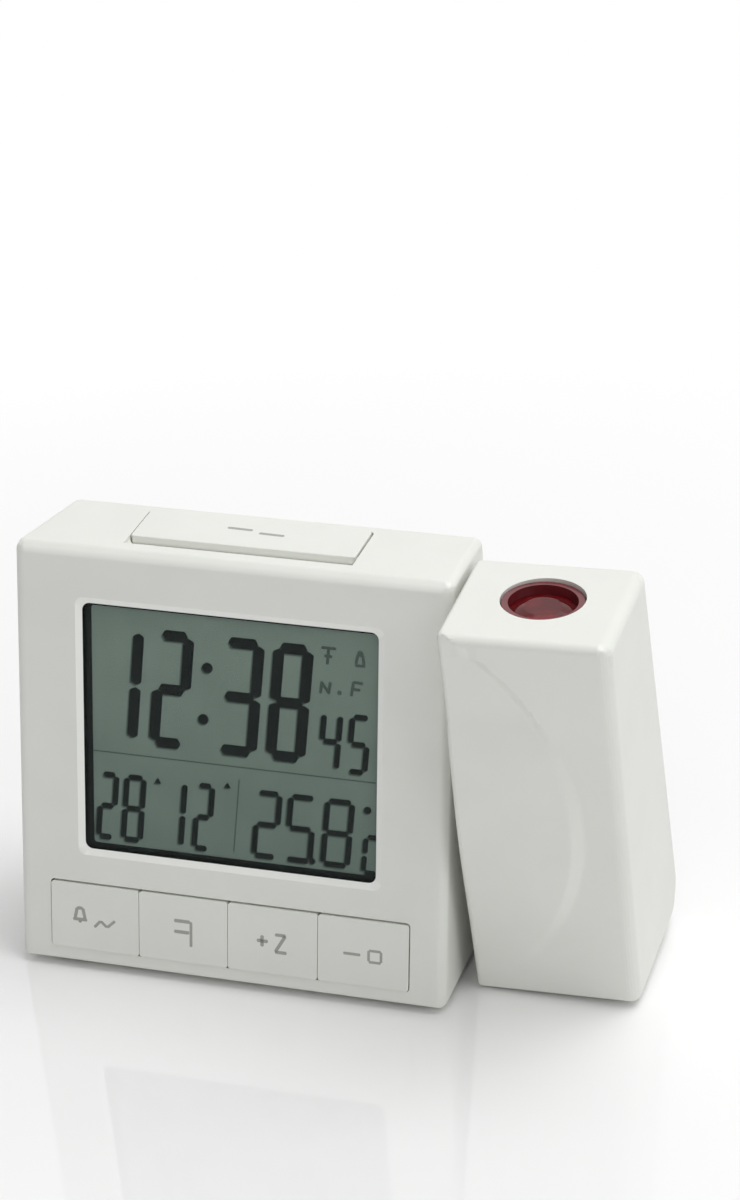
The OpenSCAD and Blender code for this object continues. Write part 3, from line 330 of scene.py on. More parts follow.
# Moulded ABS, spark-eroded grain: warm white, satin, with slow cloudiness that keeps the big
# faces from looking flat and a grain of about 0.4 mm that breaks up the highlights.
abs_white = new_material("moulded_white_abs")
where = add(abs_white, "ShaderNodeTexCoord").outputs["Object"]
cloud = add(abs_white, "ShaderNodeTexNoise", {"Vector": where, "Scale": 1 / (14 * mm), "Detail": 3})
tone = add(abs_white, "ShaderNodeMixRGB",
    {"Fac": cloud, "Color1": colour("#e6e7e1"), "Color2": colour("#eeefe9")})
grain = add(abs_white, "ShaderNodeTexNoise", {"Vector": where, "Scale": 1 / (0.4 * mm), "Detail": 2})
sheen = add(abs_white, "ShaderNodeMapRange", {"Value": grain, "To Min": 0.34, "To Max": 0.46})
relief = add(abs_white, "ShaderNodeBump", {"Height": grain, "Strength": 0.10, "Distance": 0.05 * mm})
skin = add(abs_white, "ShaderNodeBsdfPrincipled",
    {"Base Color": tone, "Roughness": sheen, "Normal": relief, "IOR": 1.54})
add(abs_white, "ShaderNodeOutputMaterial", {"Surface": skin})


def mottled(name, first, second, size, rough, detail=3, clear=0, **finish):
    """A material of two close tones in soft patches of that size. rough is one value, or the two
    ends of a range that is duller where it is lighter; clear is the share of light let through."""
    made = new_material(name)
    where = add(made, "ShaderNodeTexCoord").outputs["Object"]
    cloud = add(made, "ShaderNodeTexNoise",
        {"Vector": where, "Scale": 1 / (size * mm), "Detail": detail})
    tone = add(made, "ShaderNodeMixRGB",
        {"Fac": cloud, "Color1": colour(first), "Color2": colour(second)})
    if isinstance(rough, tuple):
        low, high = rough
        rough = add(made, "ShaderNodeMapRange", {"Value": cloud, "To Min": low, "To Max": high})
    values = {"Base Color": tone, "Roughness": rough, "Transmission Weight": clear, **finish}
    add(made, "ShaderNodeOutputMaterial", {"Surface": add(made, "ShaderNodeBsdfPrincipled", values)})
    return made


def housing_radius(first, second):
    """The radius of an edge of the housing: smallest along its foot, which is its parting line."""
    if max(first.z, second.z) < foot_h + 1:
        return base_edge_r
    return sum(rear_r if p.y > front_y(p.z) + 1 else edge_r for p in (first, second)) / 2


housing = wedge("front_housing_shell", 0)
round_off(housing, housing_radius)
cut(housing, wedge("cavity", wall, behind=8))

# The window's opening, with a rim that slopes out to the face. Its tool flares to twice the rim's
# width at twice the rim's depth, so it passes the face at just the rim's width.
through = 4
window_at, window_size, window_corner = (-46, 52), (62, 53), 1.6
rim_w, rim_deep = 1.3, 0.7
opening = plate("window_tool", *window_size, -through, -rim_deep, window_corner, window_at)
pick(opening, "FACE", lambda f: f.normal.z > 0.9)
bpy.ops.mesh.extrude_region_move(TRANSFORM_OT_translate={"value": (0, 0, 2 * rim_deep)})
bpy.ops.transform.resize(value=((window_size[0] + 4 * rim_w) / window_size[0],
    (window_size[1] + 4 * rim_w) / window_size[1], 1), center_override=(*window_at, rim_deep))
close_edit()
cut(housing, seat(opening, face))


def on_rim(found):
    """True for a face near the window that lies neither flat on the front nor upright on it."""
    near, steep, flat = 3, 0.3, 0.97
    at = face.inverted() @ found.calc_center_median()
    tilt = (face.inverted().to_3x3() @ found.normal).z
    off_x, off_y = abs(at.x - window_at[0]), abs(at.y - window_at[1])
    close = off_x < window_size[0] / 2 + near and off_y < window_size[1] / 2 + near
    return close and steep < tilt < flat


# The same ABS off polished steel: the rim is smooth, and its tone is a little lighter than the grained
# face as a painted highlight
polished_rim_painted_highlight = mottled("polished_abs_painted_highlight", "#f6f7f2", "#fbfcf8", 6, 0.18, detail=2, IOR=1.54)
housing.data.materials.append(abs_white)
housing.data.materials.append(polished_rim_painted_highlight)
pick(housing, "FACE", on_rim)
housing.active_material_index = 1
bpy.ops.object.material_slot_assign()
close_edit()
pane_deep, pane_t, pane_lap, pane_gap = 0.8, 1.2, 1.5, 0.15
pane_seat = 2 * (pane_lap + pane_gap)
cut(housing, seat(plate("pane_tool", window_size[0] + pane_seat, window_size[1] + pane_seat, -through,
    -pane_deep, window_corner, window_at), face))

# The slot of the four keys, and the snooze bar's
key_mid, key_h, key_pitch, slot_gap = 10.6, 15, 19.2, 0.3
cut(housing, seat(plate("key_tool", 4 * key_pitch + slot_gap, key_h, -through, 2, 0.8,
    (-body_w / 2, key_mid)), face))
snooze_size, snooze_gap, snooze_corner = (47, 12.6), 0.35, 0.9
snooze_at = (-45.5, front_y(top_z) + 7 + snooze_gap + snooze_size[1] / 2)
cut(housing, plate("snooze_tool", snooze_size[0] + 2 * snooze_gap, snooze_size[1] + 2 * snooze_gap,
    top_z - through, top_z + 2, snooze_corner + 0.3, snooze_at))

# A dip in front of the bar, where a finger finds it: a block tilted up from the bar's front edge
dip_w, dip_deep = 2.9, 1.25
dip_reach = snooze_size[0] / 2 + snooze_gap
dip_at = (snooze_at[0], snooze_at[1] - snooze_size[1] / 2 - snooze_gap, top_z - dip_deep)
dip_turn = Matrix.Rotation(-math.atan2(dip_deep, dip_w), 4, "X")
dip = box("dip_tool", (-dip_reach, -12, 0), (dip_reach, 0.1, 8))
cut(housing, seat(dip, Matrix.Translation(dip_at) @ dip_turn))

# The bearing of the arm's shaft: a boss inside the right wall, bored through
across = Matrix.Translation(pivot) @ Matrix.Rotation(math.pi / 2, 4, "Y")
hub_r, hub_gap, boss_t = 5, 0.06, 3
cut(housing, seat(rod("hub_boss", hub_r + boss_t, -wall - 2, -wall / 2), across), "UNION")
cut(housing, seat(rod("hub_bore", hub_r + hub_gap, -wall - 3, 2), across))
soften(housing, 0.22)
fit(housing, "clock_body", "case_plastic", "front_housing")


# ---- Display: a clear acrylic pane glued in from inside, over a reflective liquid crystal glass
# with its black printed border. The digits are the glass's own segments, a little behind the pane.

# Clear acrylic, polished and coated against glare: nearly invisible, with a faint reflection.
# The coating's low index is why it mirrors less than bare acrylic.
acrylic = new_material("polished_clear_acrylic")
clear = add(acrylic, "ShaderNodeBsdfPrincipled", {"Base Color": colour("#fbfdfb"), "Roughness": 0.02,
    "IOR": 1.16, "Transmission Weight": 1})
open_way = add(acrylic, "ShaderNodeBsdfTransparent", {"Color": colour("#f4f7f4")})
lamp_ray = add(acrylic, "ShaderNodeLightPath").outputs["Is Shadow Ray"]
add(acrylic, "ShaderNodeOutputMaterial",
    {"Surface": add(acrylic, "ShaderNodeMixShader", {0: lamp_ray, 1: clear, 2: open_way})})
pane = seat(plate("window_pane", window_size[0] + 2 * pane_lap, window_size[1] + 2 * pane_lap,
    -pane_deep - pane_t, -pane_deep, window_corner, window_at), face)
soften(pane, 0.15)
pane.data.materials.append(acrylic)
fit(pane, "clock_body", "clear_window", "display_window")

# Liquid crystal glass with a satin polariser: grey-green, with a painted shade that darkens it towards
# its lower edge.
polariser = new_material("satin_polariser_film")
where = add(polariser, "ShaderNodeTexCoord").outputs["Object"]
height = add(polariser, "ShaderNodeSeparateXYZ", {0: where}).outputs["Z"]
painted_shade_rise = add(polariser, "ShaderNodeMapRange", {"Value": height, "From Min": 25 * mm, "From Max": 80 * mm})
patch = add(polariser, "ShaderNodeTexNoise", {"Vector": where, "Scale": 1 / (9 * mm), "Detail": 4})
mix = add(polariser, "ShaderNodeMath", {0: painted_shade_rise, 1: patch}, operation="ADD")
level = add(polariser, "ShaderNodeMath", {0: mix, 1: 0.5}, operation="MULTIPLY")
tint = add(polariser, "ShaderNodeMixRGB",
    {"Fac": level, "Color1": colour("#57635e"), "Color2": colour("#717f78")})
film = add(polariser, "ShaderNodeBsdfPrincipled", {"Base Color": tint, "Roughness": 0.5, "IOR": 1.15})
add(polariser, "ShaderNodeOutputMaterial", {"Surface": film})
lcd_size, lcd_deep, lcd_t, lcd_corner = (66.4, 57.4), 2.15, 2.2, 0.3
glass = seat(plate("lcd_plate", *lcd_size, -lcd_deep - lcd_t, -lcd_deep, lcd_corner, window_at), face)
soften(glass, 0.1)
glass.data.materials.append(polariser)
fit(glass, "clock_body", "display_glass", "lcd_glass")

# Black printed border round the glass, widest at the left and the foot, where the eye looks past the
# window's edge on to it; that extra width is painted shade, standing in for the shade of the window's
# edge. Screen print dries dull, with a fine speckle.
border_ink_and_shade = mottled("black_print_and_painted_shade", "#0b1010", "#151b1a", 0.8, (0.45, 0.55), IOR=1.15)
ink_t, ink_edge, ink_corner = 0.05, 0.1, 0.6
ink_left, ink_right, ink_low, ink_top = 1.5, 0.3, 1.1, 0.7
mask = plate("lcd_border", lcd_size[0] - 2 * ink_edge, lcd_size[1] - 2 * ink_edge, -lcd_deep,
    -lcd_deep + ink_t, lcd_corner, window_at)
cut(mask, plate("mask_tool", window_size[0] - ink_left - ink_right,
    window_size[1] - ink_low - ink_top, -3, 0, ink_corner,
    (window_at[0] + (ink_left - ink_right) / 2, window_at[1] + (ink_low - ink_top) / 2)))
seat(mask, face)
mask.data.materials.append(border_ink_and_shade)
fit(mask, "clock_body", "display_glass")

# One segment: a thin bar with pointed ends, which are drawn apart to the segment's length. All of
# them lie from mark_low to mark_high over the glass, and the digits lean to the right by slant.
slant = 0.075
mark_low, mark_high = 0.02, 0.04
segments = {"1": "bc", "2": "abged", "3": "abgcd", "4": "fgbc", "5": "afgcd", "8": "abcdefg",
    "C": "adef"}


def dot(x, y, radius, sides=12):
    """One dot on the glass."""
    return rod("dot", radius, -lcd_deep + mark_low, -lcd_deep + mark_high, (x, y), sides)


def bar(start, end, stroke):
    """One segment on the glass from start to end."""
    start, end = Vector(start), Vector(end)
    made = rod("segment", stroke / math.sqrt(3), -lcd_deep + mark_low, -lcd_deep + mark_high, sides=6)
    seat(made, Matrix.Rotation(math.pi / 6, 4, "Z"))
    reach = (end - start).length / 2 - stroke / math.sqrt(3)
    for side in (-1, 1):
        pick(made, "VERT", lambda v: side * v.co.x > stroke / 8)
        bpy.ops.transform.translate(value=(side * reach, 0, 0))
        close_edit()
    run = end - start
    turn = Matrix.Rotation(math.atan2(run.y, run.x), 4, "Z")
    return seat(made, Matrix.Translation((*((start + end) / 2), 0)) @ turn)


def digit(sign, left, low, width, height, stroke):
    """The segments of one digit; left and low are the corner of its leaning box."""
    def at(x, y):
        return Vector((left + x + slant * y, low + y))
    gap, half, edge = 0.22, height / 2, stroke / 2
    right, top = width - edge, height - edge
    ends = {"a": (at(edge, top), at(right, top)), "g": (at(edge, half), at(right, half)),
        "d": (at(edge, edge), at(right, edge)), "f": (at(edge, top), at(edge, half)),
        "b": (at(right, top), at(right, half)), "e": (at(edge, half), at(edge, edge)),
        "c": (at(right, half), at(right, edge))}
    made = []
    for name in segments[sign]:
        first, last = ends[name]
        inward = (last - first).normalized() * gap
        made.append(bar(first + inward, last - inward, stroke))
    return made


def joined(name, pieces):
    """Joins the pieces into the last one."""
    bpy.ops.object.select_all(action="DESELECT")
    for made in pieces:
        made.select_set(True)
    bpy.context.view_layer.objects.active = pieces[-1]
    bpy.ops.object.join()
    pieces[-1].name = name
    return pieces[-1]


# Each row of digits: its low edge, height and stroke, then sign, left edge and width of each digit
rows = (((48.9, 25.2, 2.3), (("1", -74.6, 8.6), ("2", -63.6, 8.2), ("3", -49.6, 9), ("8", -38.8, 8.4))),
    ((47.9, 12.8, 1.2), (("4", -27.9, 4.6), ("5", -22.0, 4.6))),
    ((27.4, 14.9, 1.25), (("2", -75.3, 4.4), ("8", -69.9, 4.9), ("1", -61.0, 4.8), ("2", -54.6, 4.3),
        ("2", -41.8, 5.8), ("5", -34.9, 6.2), ("8", -27.2, 6.4))),
    ((26.6, 8.8, 1.1), (("C", -18.6, 4),)))
marks = []
for (low, height, stroke), signs in rows:
    for sign, left, width in signs:
        marks += digit(sign, left, low, width, height, stroke)
# The colon, the decimal point, two small pointers and the degree dot
for x, y, radius, sides in ((-50.9, 67.0, 1.15, 12), (-51.8, 56.0, 1.15, 12), (-28.7, 28.2, 0.7, 12),
        (-61.6, 41.4, 0.9, 3), (-46.7, 42.2, 0.85, 3), (-17.2, 40.6, 0.8, 12)):
    marks.append(dot(x, y, radius, sides))
digits = seat(joined("lcd_digits", marks), face)

# Switched liquid crystal: blue-black. Below and beside each segment lies its faint shadow on the
# reflector behind the glass, which a copy stands for.
crystal = mottled("switched_liquid_crystal", "#0a1010", "#141b1b", 1.5, (0.45, 0.55), IOR=1.15)
digits.data.materials.append(crystal)
bpy.ops.object.select_all(action="DESELECT")
digits.select_set(True)
bpy.context.view_layer.objects.active = digits
bpy.ops.object.duplicate()
ghost = bpy.context.object
ghost.name = "lcd_digit_shadows"
shadow = mottled("liquid_crystal_shadow", "#3f4945", "#48534e", 1.5, (0.45, 0.55), IOR=1.15)
shadow_shift = (-0.35, -0.35, -0.015)
ghost.data.materials[0] = shadow
seat(ghost, face @ Matrix.Translation(shadow_shift) @ face.inverted())
fit(digits, "clock_body", "display_glass")
fit(ghost, "clock_body", "display_glass")

# The dividing lines and the small signs at the upper right are thinner segments, and paler: a
# mast with its arms, a bell, a zigzag with a dot beside it, and a small flag
line_w, sign_w = 0.3, 0.65
marks = [bar((-75.5, 46.6), (-15.6, 46.6), line_w), bar((-45.4, 28), (-44.2, 44), line_w)]
for start, end in (((-25.9, 70.4), (-25.6, 74)), ((-27.2, 73.9), (-24, 73.9)),
        ((-26.6, 72.2), (-24.8, 72.2)), ((-20.2, 70.9), (-18, 70.9)), ((-20, 71), (-19.6, 73.2)),
        ((-18.3, 71), (-18.6, 73.2)),
        ((-27.3, 64.2), (-26.9, 66.9)), ((-25.6, 64.2), (-25.2, 66.9)), ((-27.2, 66.8), (-25.4, 64.4)),
        ((-20.9, 64.3), (-20.4, 67.5)), ((-20.5, 67.4), (-18.4, 67.2)), ((-20.7, 65.9), (-18.9, 65.8))):
    marks.append(bar(start, end, sign_w))
marks += [dot(-23.3, 64.8, 0.5), dot(-19.1, 73.4, 0.7)]
signs = seat(joined("lcd_signs", marks), face)
signs.data.materials.append(shadow)
fit(signs, "clock_body", "display_glass")


# ---- Keys: four ABS caps side by side in one slot, each sprung on its switch by a post behind it.
# Each cap carries a small printed sign in grey.
grey_print = mottled("grey_pad_print", "#9c9c98", "#b0b0ab", 0.5, (0.5, 0.6))


def print_on(piece, strokes, x, y, z):
    """Prints grey strokes round a place on the piece's face, which they stand a little proud of."""
    proud = 0.015
    marks = [bar(*stroke) for stroke in strokes]
    for made in (*marks, piece):
        made.data.materials.append(abs_white)
        made.data.materials.append(grey_print)
    for made in marks:
        seat(made, Matrix.Translation((x, y, z + lcd_deep - mark_high + proud)))
        for polygon in made.data.polygons:
            polygon.material_index = 1
    return joined(piece.name, marks + [piece])


# The keys' outer and inner forms, and their signs: start, end and width of each stroke
key_gap, key_top_gap, key_proud, key_corner = 0.12, 0.4, 0.25, 0.6
key_back, flange_back, post_back, post_r = -wall - 0.3, -3.2, -6, 1.5
sign_drop = 0.6
key_signs = {
    "alarm_key": [((-4.9, -0.2), (-1.7, -0.2), 0.7), ((-4.4, 0), (-3.9, 2.4), 0.7),
        ((-2.2, 0), (-2.7, 2.4), 0.7), ((-4, 2.3), (-2.6, 2.3), 0.7), ((-3.3, -0.3), (-3.3, -1), 0.7),
        ((-0.2, -1.6), (1.2, 0), 0.6), ((1.2, 0), (2.6, -1.3), 0.6), ((2.6, -1.3), (4.4, 0.4), 0.6)],
    "mode_key": [((-2, 2.3), (1.6, 2.3), 0.75), ((-2, -0.1), (1.4, -0.1), 0.75),
        ((1.7, 2.4), (1.7, -3.2), 0.6)],
    "up_key": [((-3.4, 0.3), (-0.9, 0.3), 0.75), ((-2.2, -1), (-2.2, 1.6), 0.75),
        ((0.5, 2), (2.9, 2), 0.7), ((2.8, 2), (0.6, -1.8), 0.7), ((0.5, -1.8), (3.1, -1.8), 0.7)],
    "down_key": [((-4.2, 0), (-0.5, 0), 0.6), ((1.2, -1.3), (3.8, -1.3), 0.55),
        ((1.2, 1.2), (3.8, 1.2), 0.55), ((1.2, -1.2), (1.2, 1.2), 0.55),
        ((3.8, -1.2), (3.8, 1.2), 0.55)]}
for number, (name, strokes) in enumerate(key_signs.items()):
    key_x = -body_w / 2 + (number - 1.5) * key_pitch
    cap = plate(name + "_cap", key_pitch - key_gap, key_h - key_gap - key_top_gap, key_back, key_proud,
        key_corner, (key_x, key_mid + (key_gap - key_top_gap) / 2))
    cut(cap, plate("flange", key_pitch - slot_gap, key_h + 1.1, flange_back, key_back, key_corner,
        (key_x, key_mid + 0.35)), "UNION")
    cut(cap, rod("post", post_r, post_back, flange_back + 0.2, (key_x, key_mid), 32), "UNION")
    soften(cap, 0.1)
    fit(seat(print_on(cap, strokes, key_x, key_mid - sign_drop, key_proud), face), name,
        "case_plastic", name)


# ---- Snooze bar: a wide ABS bar let into the top, held by a flange under the opening. Its front
# face shows in the dip, and two short dashes are printed on it in grey.
bar_top, bar_under, dash_w = top_z + 0.37, top_z - wall - 0.3, 0.9
dashes = (((-5.5, 1.4), (0, 1.2), dash_w), ((1.5, 0.2), (7, 0), dash_w))
snooze = plate("snooze_bar_cap", *snooze_size, bar_under, bar_top, snooze_corner, snooze_at)
cut(snooze, plate("flange", snooze_size[0] + 2.2, snooze_size[1] + 1.6, bar_under - 1, bar_under,
    snooze_corner, snooze_at), "UNION")
soften(snooze, 0.3, 3)
fit(print_on(snooze, dashes, *snooze_at, bar_top), "snooze_bar", "case_plastic", "snooze_bar")


# ---- Projector arm: a shell moulded in the same ABS, open on the side towards the body, where a
# side plate closes it. Its top has the lens opening, its front a shallow arc, its back a slot. It
# spreads away from the body towards its foot.

# The shell is 0.06 mm narrower than the solid part, whose foot is rounder, so that both reach
# equally far out. Its outline is four lines, for front, top, back and foot, and arm_lines has the
# angle of each one's normal and its distance from the pivot.
arm_w, arm_x, arm_spread = 33.94, 2.28, 2.6
arm_tilt = math.atan(arm_spread / top_z)
arm = (Matrix.Translation(pivot + Vector((arm_x, 0, 0))) @ Matrix.Rotation(-arm_tilt, 4, "Y")
    @ Matrix.Rotation(math.pi / 2, 4, "Z") @ Matrix.Rotation(math.pi / 2, 4, "X"))
arm_lines = [(190.9, 28.2), (92.5, 44.33), (15.8, 7.8), (272.5, 44.5)]
tail_r, inner_r, arm_foot_r = 7.45, 1.2, 0.8


def ease(share):
    """0 below 0, 1 above 1, and a soft rise between."""
    share = min(max(share, 0), 1)
    return share * share * (3 - 2 * share)


def meet(first, second, inset):
    """Where two lines of the arm's outline cross, both moved in by inset."""
    a, b = math.radians(first[0]), math.radians(second[0])
    p, q = first[1] - inset, second[1] - inset
    x, y = p * math.sin(b) - q * math.sin(a), q * math.cos(a) - p * math.cos(b)
    return Vector((x, y)) / math.sin(b - a)


def arm_block(name, inset, low, high):
    """The arm's outline as a block from low to high, with the round rear corner at its tail."""
    made = box(name, (-1, -1, low), (1, 1, high))
    corners = {(-1, -1): (3, 0), (-1, 1): (0, 1), (1, 1): (1, 2), (1, -1): (2, 3)}
    for (x, y), (first, second) in corners.items():
        to = meet(arm_lines[first], arm_lines[second], inset)
        pick(made, "VERT", lambda v: abs(v.co.x - x) < 0.1 and abs(v.co.y - y) < 0.1)
        bpy.ops.transform.translate(value=(to.x - x, to.y - y, 0))
        close_edit()
    back, foot = arm_lines[2:]
    tail = meet(back, foot, inset)
    between = math.radians(360 + back[0] - foot[0])
    pick(made, "EDGE", lambda e: (middle(e).xy - tail).length < 0.1)
    bpy.ops.mesh.bevel(offset=(tail_r - inset) * math.tan(between / 2), segments=10, affect="EDGES")
    close_edit()
    return made


def arm_radius(first, second):
    """The radius of an edge of the arm: small at its foot and the body, larger at the outside."""
    foot_y, blend = -46, 8
    outside = arm_foot_r + (edge_r - arm_foot_r) * ease((max(first.y, second.y) - foot_y) / blend)
    crosses, at_tail = abs(first.z - second.z) > 1, min(first.x, second.x) > 5 and first.y < 0
    if crosses:
        return 0 if at_tail else min(outside, (inner_r + edge_r) / 2)
    return min(inner_r, outside) if first.z < 1 else outside


shell = arm_block("arm_shell", 0, 0, arm_w)
round_off(shell, arm_radius)

# The moulded arc on the front: inside it the front swells half way down, and dips at the upper
# corner, with a soft step along the arc. The front is cut into small cells, then raised or sunk.
# Across the front x runs from the body outwards, y from the pivot up and z out of the face.
angle, front_out = math.radians(arm_lines[0][0]), arm_lines[0][1]
front = Matrix(((0, math.sin(angle), math.cos(angle), front_out * math.cos(angle)),
    (0, -math.cos(angle), math.sin(angle), front_out * math.sin(angle)), (1, 0, 0, 0), (0, 0, 0, 1)))
arc_mid, arc_r, cell, half_front = Vector((-29.9, 4)), 54.5, 0.5, 44
swell_most, swell_at, swell_reach, swell_step = 1.5, -2, 21, 2.6
dip_most, dip_from, dip_rise, dip_step = 0.9, 20, 12, 1.5


def arc_height(x, y):
    """How far the arc's relief stands out of the front at that place."""
    out = (Vector((x, y)) - arc_mid).length - arc_r
    swell = swell_most * math.exp(-((y - swell_at) / swell_reach) ** 2)
    sink = dip_most * ease((y - dip_from) / dip_rise)
    return swell * ease(0.5 - out / swell_step) - sink * ease(0.5 - out / dip_step)


def on_front(*vertices):
    """True if all vertices belong to the front face or to the edges round it."""
    return min(v.co.z for v in vertices) > -edge_r - 0.1


seat(shell, front.inverted())
most = int(half_front / cell)
cuts = [((n * cell, 0, 0), (1, 0, 0)) for n in range(1, int(arm_w / cell))]
cuts += [((0, n * cell, 0), (0, 1, 0)) for n in range(-most, most + 1)]
pick(shell, "FACE", lambda f: on_front(*f.verts))
for at, towards in cuts:
    bpy.ops.mesh.bisect(plane_co=at, plane_no=towards)
    bpy.ops.mesh.select_all(action="DESELECT")
    edit = bmesh.from_edit_mesh(shell.data)
    for found in edit.faces:
        if on_front(*found.verts):
            found.select_set(True)
    bmesh.update_edit_mesh(shell.data)
close_edit()
for name, sign in (("raised", 1), ("sunk", -1)):
    group = shell.vertex_groups.new(name=name)
    heights = [sign * arc_height(v.co.x, v.co.y) if on_front(v) else 0 for v in shell.data.vertices]
    for index, height in enumerate(heights):
        if height > 0:
            group.add([index], height / swell_most, "REPLACE")
    change(shell, "DISPLACE", direction="Z", mid_level=0, strength=sign * swell_most, vertex_group=name)
seat(shell, front)
cut(shell, arm_block("arm_cavity", wall, -5, arm_w - wall))
seat(shell, arm)

# The lens opening, square to the arm's sloping top, and the slot of the focus wheel
lens_x, lens_back, lens_hole_r, slope = 18, 17.9, 8.4, math.radians(2.5)
mouth = meet(arm_lines[0], arm_lines[1], 0) + lens_back * Vector((math.cos(slope), math.sin(slope)))
lens_at = (lens_x, pivot.y + mouth.x, pivot.z + mouth.y)
optics = Matrix.Translation(lens_at) @ Matrix.Rotation(slope, 4, "X")
cut(shell, seat(rod("lens_tool", lens_hole_r, -8, 8, sides=96), optics))
wheel_at, wheel_r, wheel_t, wheel_gap = Vector((29.3, pivot.y - 6.2, pivot.z + 26)), 8.6, 3, 0.3
wheel = Matrix.Translation(wheel_at) @ Matrix.Rotation(math.pi / 2, 4, "Y")
slot_half = wheel_t / 2 + wheel_gap
cut(shell, seat(rod("wheel_tool", wheel_r + wheel_gap, -slot_half, slot_half, sides=96), wheel))

soften(shell, 0.25)
shell.data.materials.append(abs_white)
fit(shell, "projector_arm", "case_plastic", "arm_cover")


# ---- Lens barrel: a short glossy moulded sleeve that slides in the opening and holds the lens. Its dark brown-red, with brighter patches at random, is a painted glow: the red of the projector's light shining inside it.
def dress(material, *nodes):
    """Gives CAD nodes their material."""
    for node in nodes:
        frame["nodes"][node].data.materials.clear()
        frame["nodes"][node].data.materials.append(material)


dress(mottled("glossy_plastic_painted_red_glow", "#4f161b", "#7d262d", 3, (0.16, 0.26), IOR=1.58),
    "lens_barrel")


# ---- Front lens: clear red acrylic, polished and coated, snapped into the barrel.
# The deep tint swallows what lies behind it, and the coating leaves only a thin white glint.
dress(mottled("polished_red_acrylic_lens", "#a81e28", "#bb2a34", 4, 0.03, detail=2, clear=0.85,
    IOR=1.35), "projection_lens")


# ---- Rear cover, battery door and the arm's side plate: moulded in the housing's white ABS.
# The cover is held by four screws, the door snaps in on its hinge pins, and the plate is one
# moulding with the hollow shaft that the arm turns on.
dress(abs_white, "rear_cover", "battery_door", "arm_side_plate")


# ---- Rubber feet, and the friction ring on the shaft: moulded black rubber, glued or slipped on.
# Dull and slightly dusty, so its edges look grey rather than black.
dress(mottled("moulded_black_rubber", "#1f1f1f", "#2e2e2d", 0.7, (0.7, 0.9), IOR=1.52),
    "rubber_feet", "friction_ring")


# ---- Screws, washer, battery contacts and the crystal's can: steel, barrel plated with nickel.
# Bright and slightly warm, with small scuffs from the barrel.
dress(mottled("nickel_plated_steel", "#a9a69f", "#cbc9c3", 0.6, (0.18, 0.38), Metallic=1),
    "cover_screws", "arm_screws", "board_screws", "pivot_screws", "pivot_washer", "battery_springs",
    "battery_plates", "clock_crystal")


# ---- Two AA cells: steel cans in a printed shrink film, clipped between spring and plate.
# The film is charcoal and glossy, and bare steel shows at both ends.
bare_end = 1.8
cell_film = new_material("printed_shrink_film")
where = add(cell_film, "ShaderNodeTexCoord").outputs["Object"]
cell_low, cell_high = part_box("battery_lower")
cell_mid, cell_half = (cell_low.x + cell_high.x) / 2, (cell_high.x - cell_low.x) / 2
lengthways = add(cell_film, "ShaderNodeSeparateXYZ", {0: where}).outputs["X"]
off = add(cell_film, "ShaderNodeMath", {0: lengthways, 1: cell_mid}, operation="SUBTRACT")
far = add(cell_film, "ShaderNodeMath", {0: off}, operation="ABSOLUTE")
end = add(cell_film, "ShaderNodeMath", {0: far, 1: cell_half - bare_end * mm}, operation="GREATER_THAN")
speck = add(cell_film, "ShaderNodeTexNoise", {"Vector": where, "Scale": 1 / (2 * mm)})
film_tone = add(cell_film, "ShaderNodeMixRGB",
    {"Fac": speck, "Color1": colour("#2b2f34"), "Color2": colour("#363b41")})
tone = add(cell_film, "ShaderNodeMixRGB", {"Fac": end, "Color1": film_tone, "Color2": colour("#b9b9b5")})
add(cell_film, "ShaderNodeOutputMaterial", {"Surface": add(cell_film, "ShaderNodeBsdfPrincipled",
    {"Base Color": tone, "Metallic": end, "Roughness": 0.25})})
dress(cell_film, "battery_lower", "battery_upper")


# ---- Power inlet, reset key, switches, optical tube and focus wheel: black moulded ABS.
# Satin, with a fine grain that breaks up the highlights; the wheel's rim is ribbed for the thumb.
dress(mottled("moulded_black_abs", "#17181a", "#222427", 0.4, (0.35, 0.5), IOR=1.54), "power_jack",
    "reset_key", "reset_switch", "key_switches", "snooze_switch", "optical_tube", "focus_wheel")


# ---- Display's frame, light guide and lead socket: moulded in white nylon and opal acrylic.
# Milky and soft, a little warmer than the case; the small white lights are cast in silicone.
dress(mottled("milky_white_nylon", "#dedfd8", "#ecece6", 2.5, (0.45, 0.6), IOR=1.53),
    "display_frame", "lead_socket")
dress(mottled("opal_acrylic", "#eef2f2", "#f7fafa", 5, (0.25, 0.35), IOR=1.49),
    "light_guide", "backlight_led")


# ---- Contact strip: layers of black and clear silicone, clamped between the glass and the board.
# The real layers are 0.1 mm apart, drawn 0.8 mm apart so that they show.
def banded(material, pitch):
    """Stripes across x, that far apart: the wave's own pattern repeats every pi / 10."""
    where = add(material, "ShaderNodeTexCoord").outputs["Object"]
    return add(material, "ShaderNodeTexWave", {"Vector": where, "Scale": math.pi / 10 / (pitch * mm)},
        bands_direction="X").outputs["Fac"]


layers = new_material("layered_contact_silicone")
tone = add(layers, "ShaderNodeMixRGB",
    {"Fac": banded(layers, 0.8), "Color1": colour("#202122"), "Color2": colour("#c9cbc9")})
add(layers, "ShaderNodeOutputMaterial", {"Surface": add(layers, "ShaderNodeBsdfPrincipled",
    {"Base Color": tone, "Roughness": 0.6, "IOR": 1.41})})
dress(layers, "contact_strip")


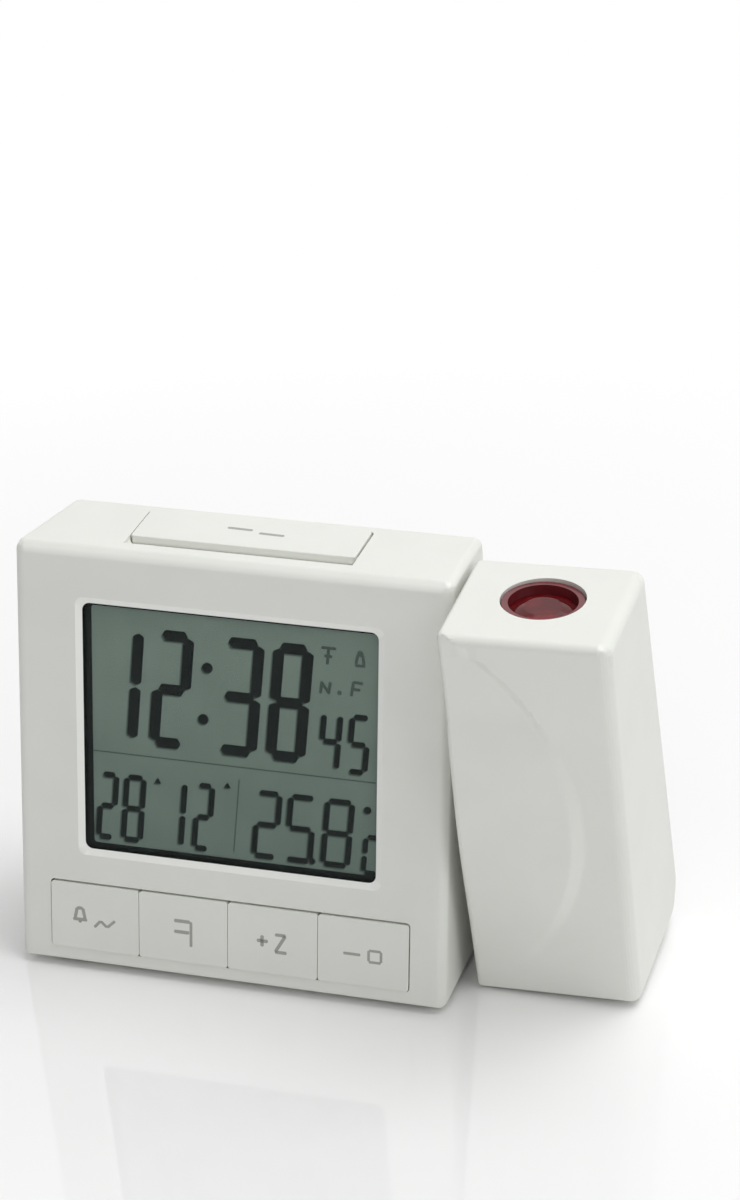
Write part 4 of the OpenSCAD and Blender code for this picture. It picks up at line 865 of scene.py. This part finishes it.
# ---- Circuit boards: glass fibre and epoxy under a green solder mask, held by screws or clips.
# The mask is glossy, and lighter in narrow lines where it runs over copper tracks.
mask_green = new_material("green_solder_mask")
where = add(mask_green, "ShaderNodeTexCoord").outputs["Object"]
upright = add(mask_green, "ShaderNodeMapping", {"Vector": where, "Rotation": (math.pi / 2, 0, 0)})
track = add(mask_green, "ShaderNodeTexBrick", {"Vector": upright, "Color1": colour("#14532f"),
    "Color2": colour("#185c36"), "Mortar": colour("#2c7d4c"), "Scale": 1 / mm, "Brick Width": 5,
    "Row Height": 1.6, "Mortar Size": 0.16})
add(mask_green, "ShaderNodeOutputMaterial", {"Surface": add(mask_green, "ShaderNodeBsdfPrincipled",
    {"Base Color": track, "Roughness": 0.28, "IOR": 1.55})})
dress(mask_green, "main_board", "projector_board", "led_board")


# ---- Controller chip: moulded in black epoxy, soldered to the board's rear. Dull, with a fine grit.
dress(mottled("black_moulding_epoxy", "#1c1c1d", "#29292a", 0.3, (0.6, 0.75), IOR=1.55),
    "controller_chip")


# ---- Temperature sensor: a bead dipped in blue epoxy resin on two wires. Smooth and glossy.
dress(mottled("dipped_blue_epoxy", "#244a86", "#2f5c9d", 1, (0.12, 0.22), IOR=1.55),
    "temperature_sensor")


# ---- Sounder: a thin brass disc with a ceramic element, seated on a ring inside the rear cover.
# The brass is rolled and uncoated, slightly cloudy from handling.
dress(mottled("rolled_brass_sheet", "#b08d3e", "#cbab5b", 1.5, (0.22, 0.4), Metallic=1), "buzzer")


# ---- Aerial for the time signal: a sintered ferrite rod, dull charcoal, in a coil of copper wire.
# The enamelled wire lies turn by turn; the real 0.2 mm pitch is drawn at 0.6 mm so that it shows. Each
# turn is painted darker in its groove and lighter on its crest: a painted shade and highlight.
dress(mottled("sintered_ferrite", "#29282b", "#37363a", 0.5, (0.6, 0.8), IOR=1.8), "aerial_rod")
winding = new_material("enamelled_copper_wire")
turn_ridges_and_shade = banded(winding, 0.6)
tone = add(winding, "ShaderNodeMixRGB",
    {"Fac": turn_ridges_and_shade, "Color1": colour("#6d3418"), "Color2": colour("#c26f3a")})
ridge = add(winding, "ShaderNodeBump", {"Height": turn_ridges_and_shade, "Strength": 0.6, "Distance": 0.1 * mm})
add(winding, "ShaderNodeOutputMaterial", {"Surface": add(winding, "ShaderNodeBsdfPrincipled",
    {"Base Color": tone, "Roughness": 0.25, "Metallic": 1, "Normal": ridge})})
dress(winding, "aerial_coil")


# ---- Leads: stranded wire in a soft PVC jacket, run through the hollow shaft to the projector.
# Pale grey and slightly greasy, so it has a wide soft highlight.
dress(mottled("soft_pvc_jacket", "#8f9090", "#a3a4a3", 2, (0.3, 0.42), IOR=1.53),
    "projector_lead", "arm_leads")


# ---- Projector's light, condenser and small display: the light is cast in clear red epoxy, the
# condenser pressed in clear acrylic, and the display is glass under the same polarising film.
dress(mottled("cast_red_epoxy", "#b3121c", "#cf1f2a", 2, 0.08, detail=2, clear=0.6, IOR=1.54),
    "projector_led")
dress(mottled("pressed_clear_acrylic", "#f4f8f6", "#fcfdfc", 3, 0.03, detail=2, clear=1, IOR=1.49),
    "condenser_lens")
# The same film brings its painted shade, darker lower down
dress(polariser, "projection_lcd")

low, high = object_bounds()
